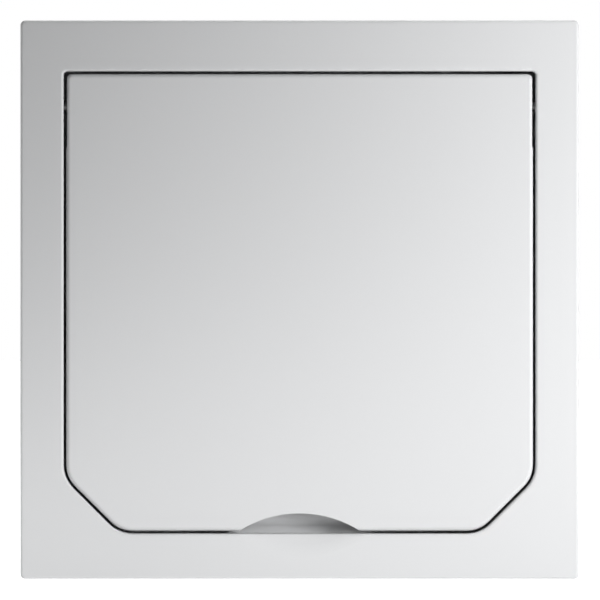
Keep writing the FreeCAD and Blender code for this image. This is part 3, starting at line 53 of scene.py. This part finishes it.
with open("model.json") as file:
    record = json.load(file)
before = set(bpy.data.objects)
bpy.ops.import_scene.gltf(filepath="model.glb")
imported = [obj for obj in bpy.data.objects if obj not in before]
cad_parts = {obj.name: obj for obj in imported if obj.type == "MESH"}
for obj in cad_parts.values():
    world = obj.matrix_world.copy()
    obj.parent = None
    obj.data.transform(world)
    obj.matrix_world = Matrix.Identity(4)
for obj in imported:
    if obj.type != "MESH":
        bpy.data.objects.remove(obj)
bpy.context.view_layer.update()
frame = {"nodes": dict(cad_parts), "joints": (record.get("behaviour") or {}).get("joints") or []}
NODES = frame["nodes"]
JOINTS = {joint["name"]: joint for joint in frame["joints"]}
MM = 0.001
TERMINALS = ("line", "earth", "neutral")
# Each side with the sense of its X.
SIDES = {"left": -1, "right": 1}


# Settings


def colour_property(name, description, value):
    """A colour that the user can change."""
    return bpy.props.FloatVectorProperty(
        name=name, description=description, subtype="COLOR", default=value, min=0, max=1)


def length_property(name, description, millimetres):
    """A length that the user can change, kept in metres."""
    return bpy.props.FloatProperty(
        name=name, description=description, unit="LENGTH", default=millimetres * MM, precision=5)


class OutletColours(bpy.types.PropertyGroup):
    """Colours of the finishes, as linear light."""

    lacquer: colour_property("Lacquer", "Satin lacquer of plate and lid", (0.60, 0.605, 0.612))
    well: colour_property("Well", "Moulded plastic of the plug well", (0.50, 0.505, 0.51))
    base: colour_property("Base", "Moulded thermoset of base and rear cover", (0.68, 0.67, 0.63))
    shutter: colour_property("Shutter", "Moulded plastic of the safety shutter", (0.30, 0.31, 0.32))
    button: colour_property("Buttons", "Moulded plastic of the release buttons", (0.72, 0.19, 0.03))
    zinc: colour_property("Zinc plating", "Plated steel of ring, claws and screws", (0.50, 0.51, 0.52))
    pin: colour_property("Pin", "Drawn steel of the hinge pin", (0.12, 0.12, 0.123))
    wire: colour_property("Spring steel", "Stainless steel of springs and clamps", (0.52, 0.52, 0.53))
    brass: colour_property("Brass", "Rolled brass of the contacts", (0.76, 0.54, 0.22))
    floor: colour_property("Floor", "Pale floor of the stage", (0.70, 0.70, 0.70))


class OutletSizes(bpy.types.PropertyGroup):
    """Sizes of the pieces that are made here."""

    lid_wire: length_property("Lid spring wire", "Wire of the two lid springs", 0.35)
    lid_coil_radius: length_property("Lid coil radius", "Mean radius of the lid springs", 0.98)
    lid_coil_inner: length_property("Lid coil start", "Inner end of a lid coil, from the middle", 10.0)
    lid_coil_outer: length_property("Lid coil end", "Outer end of a lid coil, from the middle", 14.0)
    lid_coil_turns: bpy.props.IntProperty(
        name="Lid coil turns", description="Turns of a lid spring", default=8, min=1)
    lid_leg: length_property("Lid leg", "Spring leg down the back of the lid", 2.8)
    ledge_leg_fall: bpy.props.FloatProperty(
        name="Ledge leg fall", description="Fall of the rearward leg per unit of depth", default=0.325)
    ledge_leg_reach: length_property("Ledge leg reach", "Rearward leg behind the hinge axis", 4.6)
    shutter_wire: length_property("Shutter spring wire", "Wire of the shutter spring", 0.3)
    shutter_coil_turns: bpy.props.IntProperty(
        name="Shutter coil turns", description="Turns of the shutter spring", default=7, min=1)
    clamp_sheet: length_property("Clamp sheet", "Spring strip of the clamps", 0.5)
    clamp_bend: length_property("Clamp bend", "Middle radius of a clamp's bend", 0.75)
    clamp_turn: bpy.props.FloatProperty(
        name="Clamp turn", description="Turn of a clamp's bend", unit="ROTATION",
        default=math.radians(122.5))
    claw_shank: length_property("Claw screw shank", "Radius of the claw screws' shanks", 1.4)
    thread_pitch: length_property("Thread pitch", "Pitch of the claw screws", 0.5)
    thread_height: length_property("Thread height", "Thread crest above the shank", 0.1)


class OutletStage(bpy.types.PropertyGroup):
    """Camera and light of the stage."""

    picture_side: bpy.props.IntProperty(
        name="Picture side", description="Side of the square picture", subtype="PIXEL", default=600)
    plate_in_picture: bpy.props.FloatProperty(
        name="Plate in picture", description="Plate's width in the picture, in pixels", default=558.6)
    plate_right: bpy.props.FloatProperty(
        name="Plate right", description="Plate's middle right of the picture's, in pixels", default=-0.4)
    plate_up: bpy.props.FloatProperty(
        name="Plate up", description="Plate's middle above the picture's, in pixels", default=0.3)
    lens: bpy.props.FloatProperty(
        name="Lens", description="Focal length of the camera", unit="CAMERA", default=400)
    ambient: bpy.props.FloatProperty(
        name="Ambient", description="Light of the surroundings", default=0.12, min=0)
    floor_radius: length_property("Floor radius", "Reach of the floor", 3000)
    floor_glow: bpy.props.FloatProperty(
        name="Floor glow", description="Own light of the floor", default=1.0, min=0)


# Finishes

# Most values of a noise texture lie between these two.
NOISE_LOW = 0.3
NOISE_HIGH = 0.7
# Cells of noise that are as long as they are wide.
EVEN = (1.0, 1.0, 1.0)


def new_material(name):
    """A node material; returns it with its tree and its shader."""
    material = bpy.data.materials.new(name)
    material.use_nodes = True
    tree = material.node_tree
    shader = next(node for node in tree.nodes if node.type == "BSDF_PRINCIPLED")
    return material, tree, shader


def grain(tree, cell, detail=3.0, stretch=EVEN):
    """Noise with cells of about the given length; stretch lengthens them along an axis."""
    place = tree.nodes.new("ShaderNodeTexCoord")
    scale = tree.nodes.new("ShaderNodeMapping")
    scale.inputs["Scale"].default_value = [1 / factor for factor in stretch]
    noise = tree.nodes.new("ShaderNodeTexNoise")
    noise.inputs["Scale"].default_value = 1 / cell
    noise.inputs["Detail"].default_value = detail
    tree.links.new(place.outputs["Object"], scale.inputs["Vector"])
    tree.links.new(scale.outputs["Vector"], noise.inputs["Vector"])
    return noise.outputs["Fac"]


def tint(tree, shader, factor, colour, spread):
    """Base colour that wanders by a share of itself."""
    ramp = tree.nodes.new("ShaderNodeValToRGB")
    low, high = ramp.color_ramp.elements
    low.position = NOISE_LOW
    high.position = NOISE_HIGH
    low.color = (*[channel * (1 - spread) for channel in colour], 1)
    high.color = (*[min(channel * (1 + spread), 1) for channel in colour], 1)
    tree.links.new(factor, ramp.inputs["Fac"])
    tree.links.new(ramp.outputs["Color"], shader.inputs["Base Color"])


def gloss(tree, shader, factor, low, high):
    """Roughness that wanders between two values."""
    limits = tree.nodes.new("ShaderNodeMapRange")
    limits.inputs["From Min"].default_value = NOISE_LOW
    limits.inputs["From Max"].default_value = NOISE_HIGH
    limits.inputs["To Min"].default_value = low
    limits.inputs["To Max"].default_value = high
    tree.links.new(factor, limits.inputs["Value"])
    tree.links.new(limits.outputs["Result"], shader.inputs["Roughness"])


def relief(tree, shader, factor, height, strength):
    """Fine relief of the given height."""
    bump = tree.nodes.new("ShaderNodeBump")
    bump.inputs["Distance"].default_value = height
    bump.inputs["Strength"].default_value = strength
    tree.links.new(factor, bump.inputs["Height"])
    tree.links.new(bump.outputs["Normal"], shader.inputs["Normal"])


def satin_lacquer(name, colour):
    """Silky sprayed lacquer: a fine flake in its colour, a soft wander of gloss, a faint orange peel."""
    material, tree, shader = new_material(name)
    tint(tree, shader, grain(tree, cell=0.12 * MM, detail=2.0), colour, spread=0.012)
    gloss(tree, shader, grain(tree, cell=1.5 * MM), low=0.42, high=0.48)
    relief(tree, shader, grain(tree, cell=0.6 * MM, detail=1.0), height=0.002 * MM, strength=0.25)
    return material


def moulded_plastic(name, colour, rough=0.42):
    """Plain moulding with a spark-eroded skin and a faint flow mottle."""
    material, tree, shader = new_material(name)
    tint(tree, shader, grain(tree, cell=6 * MM), colour, spread=0.025)
    skin = grain(tree, cell=0.25 * MM, detail=4.0)
    gloss(tree, shader, skin, low=rough - 0.05, high=rough + 0.06)
    relief(tree, shader, skin, height=0.008 * MM, strength=0.35)
    shader.inputs["IOR"].default_value = 1.49
    return material


def plated_steel(name, colour, rough=0.30):
    """Zinc plating: a cloudy spangle over fine rolling marks."""
    material, tree, shader = new_material(name)
    tint(tree, shader, grain(tree, cell=1.8 * MM, detail=4.0), colour, spread=0.09)
    marks = grain(tree, cell=0.12 * MM, stretch=(1.0, 1.0, 9.0))
    gloss(tree, shader, marks, low=rough - 0.07, high=rough + 0.10)
    relief(tree, shader, marks, height=0.003 * MM, strength=0.25)
    shader.inputs["Metallic"].default_value = 1.0
    return material


def rolled_metal(name, colour, stretch=EVEN, rough=0.24):
    """Bright rolled or drawn metal, with its fine marks drawn out into streaks by stretch."""
    material, tree, shader = new_material(name)
    streaks = grain(tree, cell=0.08 * MM, stretch=stretch)
    tint(tree, shader, grain(tree, cell=2.5 * MM), colour, spread=0.07)
    gloss(tree, shader, streaks, low=rough - 0.06, high=rough + 0.08)
    relief(tree, shader, streaks, height=0.002 * MM, strength=0.2)
    shader.inputs["Metallic"].default_value = 1.0
    return material


def finish_nodes(material, *nodes):
    """Gives the material to pieces of the frame."""
    for name in nodes:
        slots = NODES[name].data.materials
        slots.clear()
        slots.append(material)


# Surfaces

# Points round a wire, steps in a turn of each coil and thread, and steps along a leg, a bend and a leaf.
WIRE_SIDES = 14
LID_COIL_STEPS = 30
SHUTTER_COIL_STEPS = 32
THREAD_STEPS = 28
LEG_STEPS = 12
BEND_STEPS = 20
LEAF_STEPS = 16
# Edges that turn by more than this stay sharp.
SHARP_TURN = math.radians(40)
# Half widths of a thread's ridge at its root and crest, as shares of the pitch, and the share of its height
# that is left at its very ends.
THREAD_ROOT = 0.46
THREAD_CREST = 0.07
THREAD_END = 0.05


def ring_faces(points):
    """Indices of a grid of points, and the quads between its rows, each row closed into a ring."""
    rows, sides = points.shape[:2]
    index = np.arange(rows * sides).reshape(rows, sides)
    following = np.roll(index, -1, axis=1)
    quads = np.stack([index[:-1], following[:-1], following[1:], index[1:]], axis=-1)
    return index, quads.reshape(-1, 4)


def mesh_object(name, points, faces, material):
    """Mesh of a grid of points, as an object at the origin."""
    mesh = bpy.data.meshes.new(name)
    mesh.from_pydata(points.reshape(-1, 3).tolist(), [], faces)
    mesh.materials.append(material)
    thing = bpy.data.objects.new(name, mesh)
    bpy.context.scene.collection.objects.link(thing)
    return thing


def grid_piece(name, points, material):
    """Closed tube of a grid of points: rows along it, columns round it, and a face over each end."""
    index, quads = ring_faces(points)
    faces = quads.tolist() + [index[0, ::-1].tolist(), index[-1].tolist()]
    piece = mesh_object(name, points, faces, material)
    piece.data.polygons.foreach_set("use_smooth", np.ones(len(faces), bool))
    piece.data.set_sharp_from_angle(angle=SHARP_TURN)
    piece.data.update()
    return piece


def swept(path, axis, profile):
    """Points of a profile carried along a path.

    At each point of the path the frame is the tangent T, the part N of the axis that is square to T,
    and T x N; a profile point (a, b) lies at path + a N + b (T x N).
    """
    axis = np.asarray(axis, float)
    tangent = np.gradient(path, axis=0)
    tangent /= np.linalg.norm(tangent, axis=1, keepdims=True)
    normal = axis - (tangent @ axis)[:, None] * tangent
    normal /= np.linalg.norm(normal, axis=1, keepdims=True)
    binormal = np.cross(tangent, normal)
    across = profile[None, :, 0, None] * normal[:, None] + profile[None, :, 1, None] * binormal[:, None]
    return path[:, None] + across


def round_section(diameter):
    """Circle of points: half the diameter times the cosine and sine of even turns."""
    turn = np.linspace(0, math.tau, WIRE_SIDES, endpoint=False)
    return np.stack([np.cos(turn), np.sin(turn)], axis=1) * diameter / 2


def flat_section(width, thickness, corner):
    """Rectangle of points with cut corners; the left half is the right half turned half round."""
    half, low = width / 2, thickness / 2
    right = [(half - corner, -low), (half, -low + corner), (half, low - corner), (half - corner, low)]
    return np.array(right + [(-a, -b) for a, b in right])


def lid_spring_path(sizes):
    """Rearward leg, helix about the hinge axis, and leg down the lid, about the origin.

    On the helix the angle falls evenly from that of the rearward leg to a whole number of turns, while x
    goes from the outer to the inner end. Each leg runs on along the helix's tangent.
    """
    first = -math.pi / 2 - math.atan(sizes.ledge_leg_fall)
    last = -math.tau * sizes.lid_coil_turns
    angle = np.linspace(first, last, LID_COIL_STEPS * sizes.lid_coil_turns)
    x = np.interp(angle[::-1], [last, first], [sizes.lid_coil_inner, sizes.lid_coil_outer])[::-1]
    radius = sizes.lid_coil_radius
    coil = np.stack([x, radius * np.cos(angle), radius * np.sin(angle)], axis=1)
    ledge_way = coil[0] - coil[1]
    ledge_leg = coil[0] + ledge_way * ((sizes.ledge_leg_reach - coil[0, 1]) / ledge_way[1])
    lid_way = coil[-1] - coil[-2]
    lid_leg = coil[-1] + lid_way * (sizes.lid_leg / np.linalg.norm(lid_way))
    steps = np.linspace(0, 1, LEG_STEPS)[:, None]
    return np.concatenate([
        ledge_leg + (coil[0] - ledge_leg) * steps[:-1],
        coil,
        coil[-1] + (lid_leg - coil[-1]) * steps[1:],
    ])


def shutter_spring_path(centre, radius, low, high, turns):
    """Helix about a vertical axis: the angle and the height grow evenly from the low to the high end."""
    share = np.linspace(0, 1, SHUTTER_COIL_STEPS * turns)
    angle = share * turns * math.tau
    return np.stack([
        centre.x + radius * np.cos(angle),
        centre.y + radius * np.sin(angle),
        low + (high - low) * share,
    ], axis=1)


def clamp_path(low, high, sizes):
    """Middle line of a clamp in the plane through the middle of its box.

    An anchor leg runs rearwards along the chamber wall, an arc turns it up and forwards, and a straight
    leaf leans on along the arc's tangent until its edge is as high as the box.
    """
    half, bend, turn = sizes.clamp_sheet / 2, sizes.clamp_bend, sizes.clamp_turn
    centre_y, centre_z = high.y - half - bend, low.z + half + bend
    angle = np.linspace(0, turn, BEND_STEPS)
    arc = np.stack([centre_y + bend * np.sin(angle), centre_z - bend * np.cos(angle)], axis=1)
    way = np.array([math.cos(turn), math.sin(turn)])
    leaf = (high.z - half * abs(way[0]) - arc[-1, 1]) / way[1]
    steps = np.linspace(0, 1, LEAF_STEPS)[:, None]
    anchor = np.array([low.y, arc[0, 1]])
    line = np.concatenate([anchor + (arc[0] - anchor) * steps[:-1], arc, arc[-1] + way * leaf * steps[1:]])
    return np.column_stack([np.full(len(line), (low.x + high.x) / 2), line])


def thread_points(centre_x, centre_z, radius, start, end, pitch, height):
    """Ridge of a thread on a shank along Y.

    Row by row the angle grows and y with it by one pitch a turn; across a row the ridge rises from its
    root, sunk in the shank, to a narrow crest. Both ends fade into the shank over half a turn.
    """
    turns = (end - start) / pitch - 1
    angle = np.linspace(0, turns * math.tau, int(turns * THREAD_STEPS))
    fade = np.clip(np.minimum(angle, angle[-1] - angle) / math.pi, THREAD_END, 1)
    sunk = height / 2
    rise = np.array([0, 1, 1, 0]) * (height + sunk)
    shift = np.array([-THREAD_ROOT, -THREAD_CREST, THREAD_CREST, THREAD_ROOT]) * pitch
    reach = radius - sunk + rise[None, :] * fade[:, None]
    y = start + pitch / 2 + angle[:, None] / math.tau * pitch + shift[None, :]
    return np.stack([
        centre_x + reach * np.cos(angle)[:, None],
        y,
        centre_z + reach * np.sin(angle)[:, None],
    ], axis=-1)


# Pieces


class OUTLET_OT_front(bpy.types.Operator):
    """Lacquers the cover plate and the lid"""

    bl_idname = "outlet.front"
    bl_label = "Plate and lid"

    def execute(self, context):
        colours = context.scene.outlet_colours
        finish_nodes(satin_lacquer("satin_lacquer", colours.lacquer), "cover_plate", "lid")
        return {"FINISHED"}


class OUTLET_OT_mouldings(bpy.types.Operator):
    """Finishes the well, base, rear cover, shutter and buttons"""

    bl_idname = "outlet.mouldings"
    bl_label = "Mouldings"

    def execute(self, context):
        colours = context.scene.outlet_colours
        finish_nodes(moulded_plastic("well_plastic", colours.well), "socket_well")
        finish_nodes(moulded_plastic("base_plastic", colours.base, rough=0.5), "contact_base", "rear_cover")
        finish_nodes(moulded_plastic("shutter_plastic", colours.shutter), "shutter")
        buttons = [f"{terminal}_release_button" for terminal in TERMINALS]
        finish_nodes(moulded_plastic("button_plastic", colours.button, rough=0.36), *buttons)
        return {"FINISHED"}


class OUTLET_OT_metal(bpy.types.Operator):
    """Finishes the ring, claws, screws, hinge pin and contacts"""

    bl_idname = "outlet.metal"
    bl_label = "Metal parts"

    def execute(self, context):
        colours = context.scene.outlet_colours
        zinc = plated_steel("zinc_steel", colours.zinc)
        finish_nodes(zinc, "mounting_ring", "centre_screw", "rear_cover_screws")
        for side in SIDES:
            finish_nodes(zinc, f"claw_{side}", f"claw_screw_{side}")
        pin = rolled_metal("bright_pin", colours.pin, stretch=(30.0, 1.0, 1.0), rough=0.42)
        finish_nodes(pin, "hinge_pin")
        brass = rolled_metal("contact_brass", colours.brass, stretch=(1.0, 25.0, 1.0))
        finish_nodes(brass, "line_contact", "neutral_contact", "earth_bracket")
        return {"FINISHED"}


class OUTLET_OT_lid_springs(bpy.types.Operator):
    """Winds the two torsion springs that close the lid"""

    bl_idname = "outlet.lid_springs"
    bl_label = "Lid springs"

    def execute(self, context):
        sizes = context.scene.outlet_sizes
        material = rolled_metal("lid_spring_steel", context.scene.outlet_colours.wire)
        hinge = np.array(JOINTS["lid_hinge"]["pos_m"])
        wire = swept(lid_spring_path(sizes), (1, 0, 0), round_section(sizes.lid_wire))
        for side, sense in SIDES.items():
            mirror = np.array([sense, 1, 1])
            points = wire * mirror + hinge
            piece = grid_piece(f"lid_spring_wire_{side}", points[:, ::sense], material)
            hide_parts(f"lid_spring_{side}")
            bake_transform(piece)
        return {"FINISHED"}


class OUTLET_OT_shutter_spring(bpy.types.Operator):
    """Winds the compression spring of the shutter"""

    bl_idname = "outlet.shutter_spring"
    bl_label = "Shutter spring"

    # Share of its length that the spring keeps when the shutter is turned as far as it goes.
    SHORTEST = 0.27

    def execute(self, context):
        sizes = context.scene.outlet_sizes
        material = rolled_metal("shutter_spring_steel", context.scene.outlet_colours.wire)
        low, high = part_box("shutter_spring")
        centre = (low + high) / 2
        half = sizes.shutter_wire / 2
        radius = (high.y - low.y) / 2 - half
        path = shutter_spring_path(centre, radius, low.z + half, high.z - half, sizes.shutter_coil_turns)
        points = swept(path, (0, 0, 1), round_section(sizes.shutter_wire))
        piece = grid_piece("shutter_spring_wire", points, material)
        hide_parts("shutter_spring")
        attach(piece, "housing")
        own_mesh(piece)
        return {"FINISHED"}


class OUTLET_OT_clamps(bpy.types.Operator):
    """Bends the three push-in clamps, whose leaves give way under the release buttons"""

    bl_idname = "outlet.clamps"
    bl_label = "Clamps"

    # Cut along the edges of the strip.
    EDGE = 0.06 * MM

    def execute(self, context):
        sizes = context.scene.outlet_sizes
        steel = context.scene.outlet_colours.wire
        material = rolled_metal("clamp_steel", steel, stretch=(1.0, 14.0, 14.0))
        for terminal in TERMINALS:
            low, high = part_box(f"{terminal}_clamp")
            section = flat_section(high.x - low.x, sizes.clamp_sheet, self.EDGE)
            points = swept(clamp_path(low, high, sizes), (1, 0, 0), section)
            piece = grid_piece(f"{terminal}_clamp_strip", points, material)
            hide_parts(f"{terminal}_clamp")
            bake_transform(piece)
        return {"FINISHED"}


class OUTLET_OT_claw_threads(bpy.types.Operator):
    """Cuts the threads of the two claw screws"""

    bl_idname = "outlet.claw_threads"
    bl_label = "Claw screw threads"

    def execute(self, context):
        sizes = context.scene.outlet_sizes
        material = plated_steel("thread_steel", context.scene.outlet_colours.zinc, rough=0.26)
        for side in SIDES:
            screw = f"claw_screw_{side}"
            x, wall, z = JOINTS[f"{screw}_turn"]["pos_m"]
            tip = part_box(screw)[1].y
            points = thread_points(
                x, z, sizes.claw_shank, wall + sizes.thread_pitch, tip - sizes.thread_pitch,
                sizes.thread_pitch, sizes.thread_height)
            piece = grid_piece(f"claw_thread_{side}", points, material)
            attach(piece, screw)
        return {"FINISHED"}


# Stage

WHITE = (1, 1, 1, 1)
# The floor's rings and spokes, and the radius of its innermost ring.
FLOOR_RINGS = 24
FLOOR_SPOKES = 64
FLOOR_HUB = 10 * MM
# How far the camera sees, in metres.
CAMERA_REACH = 10.0
# Each softbox: its name, its place and side in metres, its power in watts, and whether glossy surfaces mirror
# it. The first four light the front, and the next the top. The edge lights stand behind the front's plane and
# light the plate's edges, and the back lights serve the rear. Mirrored, the key would burn out the right side
# of the plate, and the left edge light the metal on that side.
SOFTBOXES = (
    ("key", (0.12, -0.11, -0.006), 0.06, 0.262, False),
    ("high_right", (0.05, -0.05, 0.07), 0.04, 0.008, True),
    ("low_middle", (0.0, -0.06, -0.034), 0.06, 0.0115, True),
    ("low_left", (-0.05, -0.05, -0.034), 0.03, 0.0075, True),
    ("overhead", (0.08, 0.08, 0.35), 0.30, 0.4, True),
    ("edge_left", (-0.30, 0.03, 0.0), 0.08, 0.38, False),
    ("edge_top", (0.0, 0.03, 0.30), 0.08, 0.2, True),
    ("edge_bottom", (0.0, 0.03, -0.30), 0.08, 0.35, True),
    ("back_left", (-0.40, 0.50, 0.35), 0.40, 0.9, True),
    ("back_right", (0.45, 0.45, 0.25), 0.40, 0.9, True),
)


def set_surroundings(scene, ambient):
    """White to the camera, and a soft even light for everything else."""
    world = bpy.data.worlds.new("surroundings")
    world.use_nodes = True
    scene.world = world
    nodes, links = world.node_tree.nodes, world.node_tree.links
    light = nodes["Background"]
    light.inputs["Color"].default_value = WHITE
    light.inputs["Strength"].default_value = ambient
    white = nodes.new("ShaderNodeBackground")
    white.inputs["Color"].default_value = WHITE
    white.inputs["Strength"].default_value = 1.0
    ray = nodes.new("ShaderNodeLightPath")
    either = nodes.new("ShaderNodeMixShader")
    links.new(ray.outputs["Is Camera Ray"], either.inputs["Fac"])
    links.new(light.outputs["Background"], either.inputs[1])
    links.new(white.outputs["Background"], either.inputs[2])
    links.new(either.outputs["Shader"], nodes["World Output"].inputs["Surface"])


def floor_paint(colour, glow):
    """Matt pale paint on a light table."""
    material, tree, shader = new_material("pale_floor")
    tint(tree, shader, grain(tree, cell=20 * MM), colour, spread=0.01)
    shader.inputs["Roughness"].default_value = 0.85
    shader.inputs["Emission Color"].default_value = WHITE
    shader.inputs["Emission Strength"].default_value = glow
    return material


def lay_floor(stage, colour):
    """Disc level with the plate's lower edge: each point is a ring's radius out along a spoke.

    It throws no light up at matt surfaces and no shadow.
    """
    radius = np.linspace(FLOOR_HUB, stage.floor_radius, FLOOR_RINGS)[:, None]
    angle = np.linspace(0, math.tau, FLOOR_SPOKES, endpoint=False)[None, :]
    x, y = radius * np.cos(angle), radius * np.sin(angle)
    points = np.stack([x, y, np.full(x.shape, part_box("cover_plate")[0].z)], axis=-1)
    index, quads = ring_faces(points)
    faces = quads[:, ::-1].tolist() + [index[0].tolist()]
    floor = mesh_object("floor", points, faces, floor_paint(colour, stage.floor_glow))
    floor.visible_diffuse = False
    floor.visible_shadow = False


def hang_softbox(scene, name, place, side, watts, mirrored):
    """Square area light that faces the middle of the plate."""
    light = bpy.data.lights.new(name, "AREA")
    light.size = side
    light.energy = watts
    softbox = bpy.data.objects.new(name, light)
    softbox.location = place
    softbox.rotation_euler = (-Vector(place)).to_track_quat("-Z", "Y").to_euler()
    softbox.visible_camera = False
    softbox.visible_glossy = mirrored
    scene.collection.objects.link(softbox)


def set_camera(scene, stage):
    """Camera square to the plate, as far away as its lens needs for the picture's width."""
    low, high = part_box("cover_plate")
    pixel = (high.x - low.x) / stage.plate_in_picture
    camera_data = bpy.data.cameras.new("camera")
    camera_data.lens = stage.lens
    camera_data.clip_end = CAMERA_REACH
    distance = pixel * stage.picture_side * stage.lens / camera_data.sensor_width
    camera = bpy.data.objects.new("camera", camera_data)
    camera.location = (-stage.plate_right * pixel, low.y - distance, -stage.plate_up * pixel)
    camera.rotation_euler = (math.pi / 2, 0, 0)
    scene.collection.objects.link(camera)
    scene.camera = camera


class OUTLET_OT_stage(bpy.types.Operator):
    """Sets the surroundings, the floor, the lights and the camera"""

    bl_idname = "outlet.stage"
    bl_label = "Stage"

    def execute(self, context):
        scene = context.scene
        scene.view_settings.view_transform = "Standard"
        set_surroundings(scene, scene.outlet_stage.ambient)
        lay_floor(scene.outlet_stage, scene.outlet_colours.floor)
        for softbox in SOFTBOXES:
            hang_softbox(scene, *softbox)
        set_camera(scene, scene.outlet_stage)
        return {"FINISHED"}


# Panel and registration


class OUTLET_PT_panel(bpy.types.Panel):
    """Lists the steps in the sidebar"""

    bl_idname = "OUTLET_PT_panel"
    bl_label = "Socket outlet"
    bl_space_type = "VIEW_3D"
    bl_region_type = "UI"
    bl_category = "Outlet"

    def draw(self, context):
        for operator in OPERATORS:
            self.layout.operator(operator.bl_idname)


OPERATORS = (
    OUTLET_OT_front,
    OUTLET_OT_mouldings,
    OUTLET_OT_metal,
    OUTLET_OT_lid_springs,
    OUTLET_OT_shutter_spring,
    OUTLET_OT_clamps,
    OUTLET_OT_claw_threads,
    OUTLET_OT_stage,
)
SETTINGS = {
    "outlet_colours": OutletColours,
    "outlet_sizes": OutletSizes,
    "outlet_stage": OutletStage,
}
CLASSES = (*SETTINGS.values(), *OPERATORS, OUTLET_PT_panel)


def register():
    """Adds the classes to Blender and the settings to its scenes."""
    for item in CLASSES:
        bpy.utils.register_class(item)
    for name, group in SETTINGS.items():
        setattr(bpy.types.Scene, name, bpy.props.PointerProperty(type=group))


def unregister():
    """Takes the settings and the classes away again."""
    for name in SETTINGS:
        delattr(bpy.types.Scene, name)
    for item in reversed(CLASSES):
        bpy.utils.unregister_class(item)


def main():
    """Makes every piece and the stage in order."""
    register()
    for operator in OPERATORS:
        group, step = operator.bl_idname.split(".")
        getattr(getattr(bpy.ops, group), step)()


if __name__ == "__main__":
    main()
